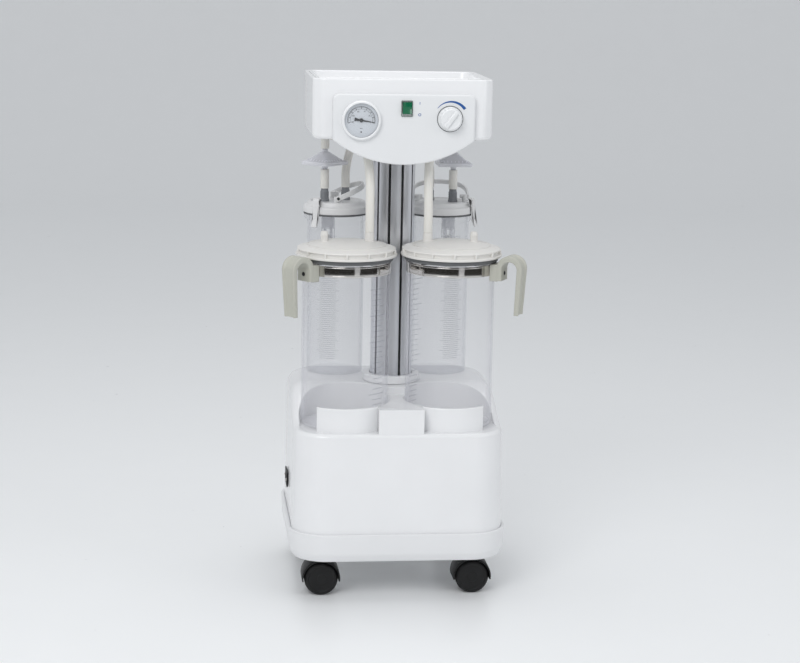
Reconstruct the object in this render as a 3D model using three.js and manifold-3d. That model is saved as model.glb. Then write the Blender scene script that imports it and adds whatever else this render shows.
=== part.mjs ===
// A mobile suction pump: a cabinet on casters with two large front jars, two smaller rear jars,
// an aluminium column and a control head. Millimetres, +Z up, the front faces -Y.
// The origin is on the floor under the middle of the cabinet.
import * as THREE from 'three';
import { mergeVertices } from 'three/addons/utils/BufferGeometryUtils.js';
import Module from 'manifold-3d';

const wasm = await Module();
wasm.setup();

// ---- Driving dimensions ----
const GAP = 0.3; // between pieces that touch

const SKIRT_HALF_X = 188;
const SKIRT_HALF_Y = 173;
const SKIRT_CORNER = 66;
const SKIRT_BOTTOM = 69;
const SKIRT_TOP = 118.5;
const SKIRT_DRAFT = 0.965; // bottom outline over top outline
const PAN_WALL = 3.2;
const COVER_INSET = 6; // cover outline inside the skirt outline
const COVER_WALL = 3.5;
const COVER_DRAFT = 0.985; // top outline over bottom outline
const DECK_Z = 291;
const PLATFORM_Z = 346;
const SLOPE_FRONT_Y = -118; // where the side edges start to climb
const SLOPE_REAR_Y = 20; // where they reach the platform
const RETAINER_HEIGHT = 42;
const RETAINER_WALL = 7;
const RETAINER_END_X = 142;
const JAR_CLEARANCE = 2.5; // between a front jar and its well
const PLATFORM_FILLET = 26;
const BLOCK_HALF_X = 38.5;
const BLOCK_FRONT_Y = -164;
const NOSE_FRONT_Y = -40; // front of the raised nose between the jars

const CASTER_X = 119;
const CASTER_Y = 112;
const CASTER_TRAIL = 12;
const WHEEL_R = 29;
const WHEEL_WIDTH = 17;
const WHEEL_GAP = 10; // between the two wheels of a caster
const AXLE_R = 4;
const STEM_R = 5.5;

const COLUMN_R = 36.6;
const COLUMN_SLOTS = 10;
const SLOT_WIDTH = 4.2;
const SLOT_DEPTH = 6;
const COLUMN_Y = 28;
const COLLAR_R = 50;
const COLLAR_HEIGHT = 14;
const COLLAR_CLEARANCE = 1;

const HEAD_BOTTOM = 782;
const HEAD_TOP = 874;
const HEAD_FRONT_Y = -103.5;
const HEAD_REAR_Y = 132;
const HEAD_HALF_X = 152;
const HEAD_FACE_HALF_X = 137;
const HEAD_CHAMFER_Y = 14;
const HEAD_WALL = 3.5;
const TRAY_RIM_HEIGHT = 9;
const TRAY_RIM_WIDTH = 8;
const TRAY_DEPTH = 13;

const PANEL_HALF_X = 119.5;
const PANEL_TOP = 859;
const PANEL_SIDE_BOTTOM = 783;
const PANEL_LOWEST = 741.5;
const PANEL_THICKNESS = 10;
const PANEL_CORNER = 9;

const GAUGE_X = -72;
const GAUGE_Z = 815.5;
const GAUGE_BEZEL_R = 33;
const GAUGE_GLASS_R = 28.4;
const GAUGE_BARREL_R = 31;
const GAUGE_DEPTH = 30;
const BEZEL_HEIGHT = 9;

const ROCKER_X = 4;
const ROCKER_Z = 835.5;
const ROCKER_HALF_X = 8;
const ROCKER_HALF_Z = 10.6;
const ROCKER_RIM = 2.2;
const ROCKER_TILT = 7; // degrees either side of the middle

const KNOB_X = 76.5;
const KNOB_Z = 819;
const KNOB_R = 20.5;
const KNOB_DEPTH = 18;
const KNOB_STEM_R = 3;

const FRONT_JAR_X = 90;
const FRONT_JAR_Y = -71;
const FRONT_JAR_R = 75;
const FRONT_JAR_WALL = 3;
const FRONT_JAR_RIM = 576;
const BAND_BOTTOM = 555.5;
const BAND_HEIGHT = 18.5;
const BAND_THICKNESS = 1.8;
const GASKET_HEIGHT = 7;
const GASKET_R = FRONT_JAR_R + 5;
const LID_R = FRONT_JAR_R + 11.5;
const LID_FLANGE = 4.5;
const LID_RIM_HEIGHT = 13.5;
const LID_DOME = 13;
const LID_RIBS = 14;
const LID_WALL = 4;
const NOZZLE_R = 6;
const NOZZLE_HEIGHT = 19;
const HANDLE_WIDTH = 32;
const HANDLE_REACH = 58; // from the jar's wall to the outside of the grip
const HANDLE_BOTTOM = 490;
const HANDLE_ANGLE = { left: 38, right: 29 }; // degrees forward of straight sideways

const REAR_JAR_X = 94;
const REAR_JAR_Y = 109;
const REAR_JAR_R = 50.5;
const REAR_JAR_WALL = 2.6;
const REAR_JAR_RIM = 631;
const REAR_GASKET = 2.6;
const REAR_LID_R = REAR_JAR_R + 8;
const REAR_LID_HEIGHT = 21;
const REAR_SKIRT_HEIGHT = 12;
const SLEEVE_R = 6.6;
const SLEEVE_HEIGHT = 20;
const CLIP_ANGLE = { left: 50, right: 28 };
const CLIP_WIDTH = 12;
const CLIP_RISE = 8; // above the lid's top
const CLIP_DROP = 22; // below the lid's underside
const BAIL_LUG_X = REAR_LID_R - 16.5;
const BAIL_RISE = 7.5; // of the pivot above the lid's top
const BAIL_HALF_X = BAIL_LUG_X + 6.5;
const BAIL_REACH = 52;
const BAIL_WIDTH = 9;
const BAIL_THICKNESS = 3.4;
const BAIL_TILT = 24; // degrees above level at rest
const BAIL_TURN = { left: -90, right: 0 }; // which way each bail leans, about Z
const CAGE_R = 12;
const CAGE_LENGTH = 74;
const CAGE_WALL = 1.8;
const FLOAT_HEIGHT = 34;

const HOSE_R = 7.6;
const HOSE_SIDES = 10;
const FILTER_SIDE = 61;
const FILTER_BASE_Z = 718;
const FILTER_HEIGHT = 22;
const FILTER_PLATE = 6;
const FILTER_SPIGOT_R = 5;

const PUMP_Z = 165;
const MOTOR_R = 42;
const MOTOR_HALF_X = 48;
const CRANKCASE_HALF_X = 22;
const CRANKCASE_HALF_Z = 42;
const SHAFT_R = 5.6;
const BORE_R = 6;
const HEAD_FINS = 6;
const FIN_PITCH = 4.4;
const FAN_X = -56;
const FAN_BLADES = 8;

const INLET_Y = 20;
const INLET_Z = 171;
const INLET_HALF_Y = 14;
const INLET_HALF_Z = 10;
const INLET_FLANGE = 3;

// Facets round a turned piece, and round a large one
const ROUND = 24;
const LARGE_ROUND = 32;
const LID_ROUND = 28;
const CORNER_FACETS = 5;

// ---- Geometry helpers ----
function solid(geometry) {
  const bare = geometry.index ? geometry.toNonIndexed() : geometry.clone();
  bare.deleteAttribute('normal');
  bare.deleteAttribute('uv');
  const merged = mergeVertices(bare, 1e-4);
  const points = merged.attributes.position.array;
  const faces = Uint32Array.from(merged.index.array);
  const kept = [];
  for (let i = 0; i < faces.length; i += 3) {
    const [a, b, c] = [faces[i], faces[i + 1], faces[i + 2]];
    if (a !== b && b !== c && c !== a) kept.push(a, b, c);
  }
  return new wasm.Manifold(outward(points, kept));
}

function outward(points, faces) {
  const corner = (i) => new THREE.Vector3().fromArray(points, 3 * i);
  let volume = 0;
  for (let i = 0; i < faces.length; i += 3) {
    volume += corner(faces[i]).dot(corner(faces[i + 1]).cross(corner(faces[i + 2])));
  }
  const order = volume < 0 ? faces.toReversed() : faces;
  return new wasm.Mesh({
    numProp: 3,
    vertProperties: Float32Array.from(points),
    triVerts: Uint32Array.from(order),
  });
}

function geometryOf(manifold) {
  const mesh = manifold.getMesh();
  const geometry = new THREE.BufferGeometry();
  geometry.setAttribute('position', new THREE.BufferAttribute(new Float32Array(mesh.vertProperties), 3));
  geometry.setIndex(new THREE.BufferAttribute(new Uint32Array(mesh.triVerts), 1));
  return geometry;
}

// A solid of revolution about Z from [radius, z] points.
function turned(profile, segments = ROUND) {
  const points = profile.map(([r, z]) => new THREE.Vector2(r, z));
  return solid(new THREE.LatheGeometry(points, segments).rotateX(Math.PI / 2));
}

// A closed ring or tube about Z.
function ring(innerR, outerR, low, high, segments = ROUND) {
  return turned([[innerR, low], [outerR, low], [outerR, high], [innerR, high], [innerR, low]], segments);
}

function rod(r, low, high, segments = 16) {
  return turned([[0, low], [r, low], [r, high], [0, high]], segments);
}

function extruded(shape, low, high, curveSegments = CORNER_FACETS) {
  const settings = { depth: high - low, bevelEnabled: false, curveSegments };
  const geometry = new THREE.ExtrudeGeometry(shape, settings);
  return solid(geometry.translate(0, 0, low));
}

function box(sizeX, sizeY, sizeZ, x, y, z) {
  return solid(new THREE.BoxGeometry(sizeX, sizeY, sizeZ).translate(x, y, z));
}

function outline(points) {
  return new THREE.Shape(points.map(([x, y]) => new THREE.Vector2(x, y)));
}

function roundedRectangle(halfX, halfY, corner) {
  const shape = new THREE.Shape();
  const quarter = Math.PI / 2;
  shape.absarc(halfX - corner, -halfY + corner, corner, -quarter, 0);
  shape.absarc(halfX - corner, halfY - corner, corner, 0, quarter);
  shape.absarc(-halfX + corner, halfY - corner, corner, quarter, 2 * quarter);
  shape.absarc(-halfX + corner, -halfY + corner, corner, 2 * quarter, 3 * quarter);
  return shape;
}

// An upright prism whose outline is scaled evenly from the low end to the high end.
function drafted(shape, low, high, lowScale, highScale) {
  const settings = { depth: high - low, bevelEnabled: false, curveSegments: CORNER_FACETS };
  const geometry = new THREE.ExtrudeGeometry(shape, settings);
  const position = geometry.attributes.position;
  for (let i = 0; i < position.count; i += 1) {
    const share = position.getZ(i) / (high - low);
    const scale = lowScale + (highScale - lowScale) * share;
    position.setXYZ(i, position.getX(i) * scale, position.getY(i) * scale, position.getZ(i) + low);
  }
  return solid(geometry);
}

function sweep(points, r, sides, steps) {
  const section = new THREE.Shape().absarc(0, 0, r, 0, 2 * Math.PI);
  const path = new THREE.CatmullRomCurve3(points.map((p) => new THREE.Vector3(...p)));
  return solid(new THREE.ExtrudeGeometry(section, { steps, extrudePath: path, curveSegments: sides }));
}

// Turns a solid made along Z so that its Z runs along the given direction, then moves it.
function laid(manifold, direction, x, y, z) {
  const matrix = new THREE.Matrix4().makeRotationFromQuaternion(
    new THREE.Quaternion().setFromUnitVectors(new THREE.Vector3(0, 0, 1), new THREE.Vector3(...direction)),
  ).setPosition(x, y, z);
  return solid(geometryOf(manifold).applyMatrix4(matrix));
}

function joined(...solids) {
  return solids.reduce((whole, piece) => whole.add(piece));
}

const FORWARD = [0, -1, 0];
const degrees = THREE.MathUtils.degToRad;

// ---- Materials ----
function finish(color, roughness, metalness = 0, opacity = 1) {
  return new THREE.MeshStandardMaterial({
    color, roughness, metalness, opacity, transparent: opacity < 1,
  });
}

const finishes = {
  shell: finish(0xf4f5f6, 0.25),
  panel: finish(0xe9ebed, 0.35),
  clear: finish(0xe4e6f2, 0.05, 0, 0.25),
  lid: finish(0xe6e3dc, 0.45),
  handle: finish(0xb9bbae, 0.5),
  rubber: finish(0x33363a, 0.7),
  steel: finish(0xb8babd, 0.2, 1),
  aluminium: finish(0xa4a7ab, 0.35, 1),
  black: finish(0x141416, 0.5),
  green: finish(0x0a6b41, 0.3),
  dial: finish(0xd9e0e6, 0.4),
  hose: finish(0xf2f0e9, 0.4),
  filter: finish(0xd8dade, 0.3, 0, 0.6),
  castMetal: finish(0x7b7f83, 0.5, 0.8),
};

const pump = new THREE.Group();

function addPiece(name, manifold, material, parent = pump) {
  const mesh = new THREE.Mesh(geometryOf(manifold), material);
  mesh.name = name;
  parent.add(mesh);
  return mesh;
}

// A profile drawn in Y and Z, extruded along X.
function acrossX(points, low, high) {
  const turn = new THREE.Matrix4().makeBasis(
    new THREE.Vector3(0, 1, 0), new THREE.Vector3(0, 0, 1), new THREE.Vector3(1, 0, 0),
  );
  return solid(geometryOf(extruded(outline(points), low, high)).applyMatrix4(turn));
}

// Turns a solid about the vertical line through (x, y), by an angle in degrees.
function swung(manifold, angle, x = 0, y = 0) {
  return manifold.translate([-x, -y, 0]).rotate([0, 0, angle]).translate([x, y, 0]);
}

// A solid made about its own Z axis, moved to face the front at (x, z) with its base at y.
function facing(manifold, x, y, z) {
  return laid(manifold, FORWARD, x, y, z);
}

// ---- Cabinet ----
function basePan() {
  const skirt = roundedRectangle(SKIRT_HALF_X, SKIRT_HALF_Y, SKIRT_CORNER);
  const outside = drafted(skirt, SKIRT_BOTTOM, SKIRT_TOP, SKIRT_DRAFT, 1);
  const inside = roundedRectangle(SKIRT_HALF_X - 10, SKIRT_HALF_Y - 10, SKIRT_CORNER - 10);
  const ledge = roundedRectangle(SKIRT_HALF_X - 12, SKIRT_HALF_Y - 12, SKIRT_CORNER - 12);
  let pan = outside
    .subtract(extruded(inside, SKIRT_BOTTOM + PAN_WALL, SKIRT_TOP - PAN_WALL))
    .subtract(extruded(ledge, SKIRT_TOP - 2 * PAN_WALL, SKIRT_TOP + 1));
  for (const [x, y] of casterPlaces()) {
    const boss = rod(STEM_R + 6, SKIRT_BOTTOM + 1, SKIRT_BOTTOM + 24).translate([x, y, 0]);
    const hole = rod(STEM_R + GAP, SKIRT_BOTTOM - 1, SKIRT_BOTTOM + 20).translate([x, y, 0]);
    pan = pan.add(boss).subtract(hole);
  }
  return pan;
}

function platformLoft(outlineHalfX, outlineHalfY, corner, low) {
  const steps = 3;
  let loft = drafted(
    roundedRectangle(outlineHalfX, outlineHalfY, corner), low, PLATFORM_Z - PLATFORM_FILLET, 1, COVER_DRAFT,
  );
  for (let i = 0; i < steps; i += 1) {
    const [from, to] = [i, i + 1].map((k) => (k / steps) * (Math.PI / 2));
    const scaleAt = (angle) => COVER_DRAFT - (PLATFORM_FILLET / outlineHalfX) * (1 - Math.cos(angle));
    loft = loft.add(drafted(
      roundedRectangle(outlineHalfX, outlineHalfY, corner),
      PLATFORM_Z - PLATFORM_FILLET + PLATFORM_FILLET * Math.sin(from),
      PLATFORM_Z - PLATFORM_FILLET + PLATFORM_FILLET * Math.sin(to),
      scaleAt(from), scaleAt(to),
    ));
  }
  return loft;
}

function slopePoints() {
  const steps = 10;
  const points = [];
  for (let i = 0; i <= steps; i += 1) {
    const share = i / steps;
    const rise = (1 - Math.cos(Math.PI * share)) / 2;
    points.push([
      SLOPE_FRONT_Y + (SLOPE_REAR_Y - SLOPE_FRONT_Y) * share,
      DECK_Z + (PLATFORM_Z - DECK_Z) * rise,
    ]);
  }
  return points;
}

function baseCover() {
  const halfX = SKIRT_HALF_X - COVER_INSET;
  const halfY = SKIRT_HALF_Y - COVER_INSET;
  const corner = SKIRT_CORNER - COVER_INSET;
  const bottom = SKIRT_TOP + GAP;
  const top = PLATFORM_Z + 20;
  const wellR = FRONT_JAR_R + JAR_CLEARANCE;
  const wells = [-1, 1].map((side) => (
    rod(wellR, DECK_Z, top, LARGE_ROUND).translate([side * FRONT_JAR_X, FRONT_JAR_Y, 0])
  ));
  const slope = [
    [-SKIRT_HALF_Y - 30, DECK_Z], ...slopePoints(), [SLOPE_REAR_Y, top], [-SKIRT_HALF_Y - 30, top],
  ];

  let cover = platformLoft(halfX, halfY, corner, bottom);
  for (const side of [-1, 1]) {
    const [low, high] = [FRONT_JAR_X + 5, SKIRT_HALF_X + 10].map((x) => side * x).toSorted((a, b) => a - b);
    cover = cover.subtract(acrossX(slope, low, high));
  }
  const frontDepth = SKIRT_HALF_Y + 30 + FRONT_JAR_Y;
  const frontWidth = 2 * (FRONT_JAR_X + wellR);
  cover = cover
    .subtract(box(
      frontWidth, frontDepth, top - DECK_Z, 0, FRONT_JAR_Y - frontDepth / 2, (top + DECK_Z) / 2,
    ))
    .subtract(box(2 * FRONT_JAR_X, 400, top, 0, NOSE_FRONT_Y - 200, DECK_Z + RETAINER_HEIGHT + top / 2));

  const retainerTop = DECK_Z + RETAINER_HEIGHT;
  let retainer = box(
    2 * BLOCK_HALF_X, NOSE_FRONT_Y - BLOCK_FRONT_Y, RETAINER_HEIGHT + 1,
    0, (NOSE_FRONT_Y + BLOCK_FRONT_Y) / 2, (DECK_Z - 1 + retainerTop) / 2,
  );
  const lobeArea = box(
    2 * RETAINER_END_X, 140, RETAINER_HEIGHT + 40, 0, FRONT_JAR_Y - 38 - 70, DECK_Z + RETAINER_HEIGHT / 2,
  );
  for (const side of [-1, 1]) {
    const lobe = rod(wellR + RETAINER_WALL, DECK_Z - 1, retainerTop, LARGE_ROUND)
      .translate([side * FRONT_JAR_X, FRONT_JAR_Y, 0]);
    retainer = retainer.add(lobe.intersect(lobeArea));
  }
  cover = cover.add(retainer);
  for (const well of wells) cover = cover.subtract(well);

  const inner = roundedRectangle(halfX - COVER_WALL - 3, halfY - COVER_WALL - 3, corner - COVER_WALL - 3);
  cover = cover
    .subtract(extruded(inner, bottom - 1, DECK_Z - COVER_WALL))
    .subtract(box(230, 95, PLATFORM_Z - COVER_WALL - 200, 0, 95, (PLATFORM_Z - COVER_WALL + 200) / 2));
  return cover.subtract(box(
    20, INLET_HALF_Y * 2 + 2 * GAP, INLET_HALF_Z * 2 + 2 * GAP, -halfX, INLET_Y, INLET_Z,
  ));
}

function powerInlet() {
  const face = -(SKIRT_HALF_X - COVER_INSET) - 0.2;
  const flange = box(
    2.4, 2 * (INLET_HALF_Y + 10), 2 * (INLET_HALF_Z + INLET_FLANGE), face - 1.2, INLET_Y, INLET_Z,
  );
  const body = box(24, 2 * INLET_HALF_Y, 2 * INLET_HALF_Z, face + 10, INLET_Y, INLET_Z);
  const socket = box(22, 2 * INLET_HALF_Y - 6, 2 * INLET_HALF_Z - 6, face + 4, INLET_Y, INLET_Z);
  let inlet = flange.add(body).subtract(socket);
  for (const offset of [-7, 0, 7]) {
    const lift = offset === 0 ? 1.5 : -1.5;
    inlet = inlet.add(box(16, 1.6, 4, face + 13, INLET_Y + offset * 0.75, INLET_Z + lift));
  }
  return inlet;
}

// ---- Pump inside the cabinet ----
function pumpMotor() {
  const can = laid(rod(MOTOR_R, -MOTOR_HALF_X, MOTOR_HALF_X, 32), [1, 0, 0], 0, 0, PUMP_Z);
  const bore = laid(rod(BORE_R, -MOTOR_HALF_X - 2, MOTOR_HALF_X + 2), [1, 0, 0], 0, 0, PUMP_Z);
  const foot = box(80, 70, 8, 0, 0, SKIRT_BOTTOM + PAN_WALL + GAP + 4);
  const post = box(60, 36, PUMP_Z - SKIRT_BOTTOM - 40, 0, 0, (PUMP_Z - 30 + SKIRT_BOTTOM) / 2 + 4);
  const floor = box(400, 400, 40, 0, 0, SKIRT_BOTTOM + PAN_WALL + GAP - 20);
  return can.add(post).add(foot).subtract(bore).subtract(floor);
}

const CRANKCASE_X = MOTOR_HALF_X + GAP + CRANKCASE_HALF_X;

function pumpCrankcase() {
  const x = CRANKCASE_X;
  const caseBox = box(2 * CRANKCASE_HALF_X, 78, 2 * CRANKCASE_HALF_Z, x, 0, PUMP_Z);
  const hollow = box(34, 60, 2 * CRANKCASE_HALF_Z - 14, x + 10, 0, PUMP_Z);
  const shaftHole = laid(rod(BORE_R, -30, 30), [1, 0, 0], x, 0, PUMP_Z);
  return caseBox.subtract(hollow).subtract(shaftHole);
}

function pumpCylinderHead() {
  const x = CRANKCASE_X;
  const low = PUMP_Z + CRANKCASE_HALF_Z + GAP;
  let head = box(40, 56, 26, x, 0, low + 13);
  for (let i = 0; i < HEAD_FINS; i += 1) {
    head = head.add(box(52, 66, FIN_PITCH / 2, x, 0, low + 3 + i * FIN_PITCH));
  }
  const port = laid(rod(5, 0, 16), [0, 0, 1], x, 0, low + 25);
  const bore = rod(3, low + 8, low + 60).translate([x, 0, 0]);
  return head.add(port).subtract(bore);
}

function coolingFan() {
  const hub = laid(rod(12, FAN_X - 6, FAN_X + 6 - 2 * GAP), [1, 0, 0], 0, 0, 0);
  const shaft = laid(rod(SHAFT_R, FAN_X - 4, CRANKCASE_X - 4), [1, 0, 0], 0, 0, 0);
  let fan = hub.add(shaft);
  for (let i = 0; i < FAN_BLADES; i += 1) {
    fan = fan.add(box(3, 9, 28, FAN_X, 0, 24).rotate([(360 * i) / FAN_BLADES, 0, 0]));
  }
  return fan.translate([0, 0, PUMP_Z]);
}

// ---- Casters ----
function casterPlaces() {
  return [[-CASTER_X, -CASTER_Y], [CASTER_X, -CASTER_Y], [-CASTER_X, CASTER_Y], [CASTER_X, CASTER_Y]];
}

// The hood covers the top of both wheels. Made at the origin, trailing towards -X.
function casterHood() {
  const halfWidth = WHEEL_GAP / 2 + WHEEL_WIDTH + GAP;
  const hoodR = WHEEL_R + 5;
  const clearR = WHEEL_R + 1.6;
  const section = [];
  for (let i = 0; i <= 10; i += 1) section.push(polar(hoodR, -8 + (196 * i) / 10));
  for (let i = 0; i <= 10; i += 1) section.push(polar(clearR, 188 - (196 * i) / 10));
  const centre = [-CASTER_TRAIL, 0, WHEEL_R];
  const topZ = SKIRT_BOTTOM - GAP;
  const shroud = facing(extruded(outline(section), 0, 2 * halfWidth), 0, halfWidth, 0).translate(centre);
  const web = facing(rod(clearR + 1, 0, WHEEL_GAP - 2 * GAP, 20), 0, WHEEL_GAP / 2 - GAP, 0)
    .translate(centre);
  const axleHole = facing(rod(AXLE_R + GAP, 0, 60), 0, 30, 0).translate(centre);
  const below = box(120, 120, 60, 0, 0, -50 + WHEEL_R);
  const clear = facing(rod(clearR, 0, 2 * halfWidth + 2, 24), 0, halfWidth + 1, 0).translate(centre);
  const mount = rod(15, WHEEL_R, topZ).subtract(clear).add(rod(STEM_R, topZ - 2, SKIRT_BOTTOM + 18));
  return shroud.add(mount).add(web.subtract(below)).subtract(axleHole);
}

function polar(r, angle) {
  return [r * Math.cos(degrees(angle)), r * Math.sin(degrees(angle))];
}

function casterWheels() {
  const tread = [
    [0, 0], [WHEEL_R - 2.5, 0], [WHEEL_R, 2.5], [WHEEL_R, WHEEL_WIDTH - 3],
    [WHEEL_R - 3, WHEEL_WIDTH], [8, WHEEL_WIDTH], [6, WHEEL_WIDTH - 2], [0, WHEEL_WIDTH - 2],
  ];
  const front = facing(turned(tread, 20), 0, -WHEEL_GAP / 2, 0);
  const rear = laid(turned(tread, 20), [0, 1, 0], 0, WHEEL_GAP / 2, 0);
  const axle = facing(rod(AXLE_R, 0, WHEEL_GAP + 4), 0, WHEEL_GAP / 2 + 2, 0);
  return front.add(rear).add(axle).translate([-CASTER_TRAIL, 0, WHEEL_R]);
}

// ---- Column and head ----
function columnBody() {
  const points = [];
  const pitch = (2 * Math.PI) / COLUMN_SLOTS;
  const halfSlot = SLOT_WIDTH / 2 / COLUMN_R;
  const point = (r, angle) => points.push([r * Math.cos(angle), r * Math.sin(angle)]);
  for (let i = 0; i < COLUMN_SLOTS; i += 1) {
    const middle = i * pitch;
    const floorR = COLUMN_R - SLOT_DEPTH;
    point(floorR, middle - (halfSlot * COLUMN_R) / floorR);
    point(floorR, middle + (halfSlot * COLUMN_R) / floorR);
    for (let k = 0; k <= 4; k += 1) {
      point(COLUMN_R, middle + halfSlot + ((pitch - 2 * halfSlot) * k) / 4);
    }
  }
  return extruded(outline(points), PLATFORM_Z + GAP, HEAD_BOTTOM - GAP)
    .rotate([0, 0, 90 + 180 / COLUMN_SLOTS]).translate([0, COLUMN_Y, 0]);
}

function columnCollar() {
  const low = PLATFORM_Z + GAP;
  const high = low + COLLAR_HEIGHT;
  return turned([
    [COLUMN_R + COLLAR_CLEARANCE, low], [COLLAR_R, low], [COLLAR_R, high - 3], [COLLAR_R - 3, high],
    [COLUMN_R + COLLAR_CLEARANCE, high], [COLUMN_R + COLLAR_CLEARANCE, low],
  ]).translate([0, COLUMN_Y, 0]);
}

function headOutline(inset) {
  const halfX = HEAD_HALF_X - inset;
  const faceX = HEAD_FACE_HALF_X - inset * 0.6;
  const front = HEAD_FRONT_Y + inset;
  const rear = HEAD_REAR_Y - inset;
  const sideY = HEAD_FRONT_Y + HEAD_CHAMFER_Y + inset * 0.4;
  const corner = 22;
  return outline([
    [-faceX, front], [faceX, front], [halfX, sideY], [halfX, rear - corner],
    [halfX - corner * 0.3, rear - corner * 0.3],
    [halfX - corner, rear], [-halfX + corner, rear], [-halfX + corner * 0.3, rear - corner * 0.3],
    [-halfX, rear - corner], [-halfX, sideY],
  ]);
}

function frontHoles(clearance) {
  const depth = 60;
  const start = HEAD_FRONT_Y + 30;
  return joined(
    facing(rod(GAUGE_BARREL_R + clearance, 0, depth, ROUND), GAUGE_X, start, GAUGE_Z),
    facing(rod(KNOB_STEM_R + clearance, 0, depth), KNOB_X, start, KNOB_Z),
    box(
      2 * (ROCKER_HALF_X + ROCKER_RIM / 2 + clearance), depth,
      2 * (ROCKER_HALF_Z + 1.6 + ROCKER_RIM / 2 + clearance),
      ROCKER_X, start - depth / 2, ROCKER_Z,
    ),
  );
}

function headShell() {
  return extruded(headOutline(0), HEAD_BOTTOM, HEAD_TOP)
    .subtract(extruded(headOutline(HEAD_WALL), HEAD_BOTTOM + HEAD_WALL, HEAD_TOP + 1))
    .subtract(frontHoles(GAP));
}

function headTray() {
  const low = HEAD_TOP + GAP;
  const floorLow = HEAD_TOP - TRAY_DEPTH + TRAY_RIM_HEIGHT;
  return extruded(headOutline(0), low, low + TRAY_RIM_HEIGHT)
    .add(extruded(headOutline(HEAD_WALL + 1), floorLow - 3, low + 1))
    .subtract(extruded(headOutline(TRAY_RIM_WIDTH), floorLow, low + TRAY_RIM_HEIGHT + 1));
}

function panelOutline(inset) {
  const halfX = PANEL_HALF_X - inset;
  const chordDrop = PANEL_SIDE_BOTTOM - PANEL_LOWEST;
  const arcR = (PANEL_HALF_X ** 2 + chordDrop ** 2) / (2 * chordDrop);
  const centreZ = PANEL_LOWEST + arcR;
  const half = Math.asin(halfX / arcR);
  const corner = Math.max(PANEL_CORNER - inset, 1);
  const shape = new THREE.Shape();
  shape.absarc(0, centreZ, arcR - inset, -Math.PI / 2 - half, -Math.PI / 2 + half);
  shape.absarc(halfX - corner, PANEL_TOP - inset - corner, corner, 0, Math.PI / 2);
  shape.absarc(-halfX + corner, PANEL_TOP - inset - corner, corner, Math.PI / 2, Math.PI);
  return shape;
}

function frontPanel() {
  const rear = HEAD_FRONT_Y - GAP;
  const bevel = 2;
  return facing(extruded(panelOutline(0), 0, PANEL_THICKNESS - bevel, 12), 0, rear, 0)
    .add(facing(extruded(panelOutline(bevel), 0, PANEL_THICKNESS, 12), 0, rear, 0))
    .subtract(frontHoles(GAP));
}

const PANEL_FACE_Y = HEAD_FRONT_Y - GAP - PANEL_THICKNESS;

function gaugeCase() {
  const back = -GAUGE_DEPTH;
  const profile = [
    [0, back], [GAUGE_BARREL_R, back], [GAUGE_BARREL_R, GAP], [GAUGE_BEZEL_R, GAP],
    [GAUGE_BEZEL_R, BEZEL_HEIGHT - 3], [GAUGE_BEZEL_R - 2, BEZEL_HEIGHT],
    [GAUGE_GLASS_R, BEZEL_HEIGHT - 1], [GAUGE_GLASS_R, back + 3], [0, back + 3],
  ];
  const port = rod(6, back - 14, back + 1);
  return facing(turned(profile, LARGE_ROUND).add(port), GAUGE_X, PANEL_FACE_Y, GAUGE_Z);
}

function gaugeDial() {
  return facing(ring(1.6, GAUGE_GLASS_R - GAP, -3, -1.8, ROUND), GAUGE_X, PANEL_FACE_Y, GAUGE_Z);
}

function gaugeNeedle() {
  const tip = 22.5;
  const tail = -11;
  const blade = outline([[tip, 0], [0, 1.5], [tail, 2.2], [tail, -2.2], [0, -1.5]]);
  const needle = extruded(blade, 0.6, 1.5).add(rod(3.4, -0.2, 2.2)).add(rod(1.2, -12, 0.5));
  return facing(needle.rotate([0, 0, -9]), GAUGE_X, PANEL_FACE_Y, GAUGE_Z);
}

function gaugeLens() {
  return facing(rod(GAUGE_GLASS_R - GAP, 4.4, 6, ROUND), GAUGE_X, PANEL_FACE_Y, GAUGE_Z);
}

function rockerFrame() {
  const width = ROCKER_HALF_X + ROCKER_RIM;
  const height = ROCKER_HALF_Z + 1.6 + ROCKER_RIM;
  const rim = box(2 * width, 2, 2 * height, ROCKER_X, PANEL_FACE_Y - GAP - 1, ROCKER_Z);
  const body = box(
    2 * width - ROCKER_RIM, 24, 2 * height - ROCKER_RIM, ROCKER_X, PANEL_FACE_Y + 11, ROCKER_Z,
  );
  const mouth = box(
    2 * (ROCKER_HALF_X + GAP), 24, 2 * (ROCKER_HALF_Z + 1.2), ROCKER_X, PANEL_FACE_Y + 4, ROCKER_Z,
  );
  return rim.add(body).subtract(mouth);
}

// The rocker is a shallow V that pivots behind its face; at rest its top half stands out.
function powerRocker() {
  const pivotY = PANEL_FACE_Y + 5;
  const reach = ROCKER_HALF_Z - 0.6;
  const profile = [[-9.5, reach], [-7.6, 0], [-9.5, -reach], [-4, -reach], [3, -5], [3, 5], [-4, reach]];
  return acrossX(profile, -ROCKER_HALF_X + GAP, ROCKER_HALF_X - GAP)
    .rotate([-ROCKER_TILT, 0, 0]).translate([ROCKER_X, pivotY, ROCKER_Z]);
}

function regulatorKnob() {
  const low = GAP;
  const high = KNOB_DEPTH;
  const knob = turned([
    [0, low], [KNOB_R, low], [KNOB_R, low + 4], [KNOB_R - 2, low + 6], [KNOB_R - 3, high - 2],
    [KNOB_R - 5, high], [0, high],
  ], ROUND);
  const crest = box(6, 2 * KNOB_R - 7, 4, 0, 0, high + 1.5);
  const bore = rod(KNOB_STEM_R + GAP, -1, 10);
  return facing(knob.add(crest).subtract(bore).rotate([0, 0, -37]), KNOB_X, PANEL_FACE_Y, KNOB_Z);
}

function regulatorValve() {
  const stem = rod(KNOB_STEM_R, -30, 9);
  const body = rod(12, -50, -PANEL_THICKNESS - HEAD_WALL - 2 * GAP, 24);
  const port = box(40, 10, 10, 0, 0, -36);
  return facing(stem.add(body).add(port), KNOB_X, PANEL_FACE_Y, KNOB_Z);
}

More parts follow.
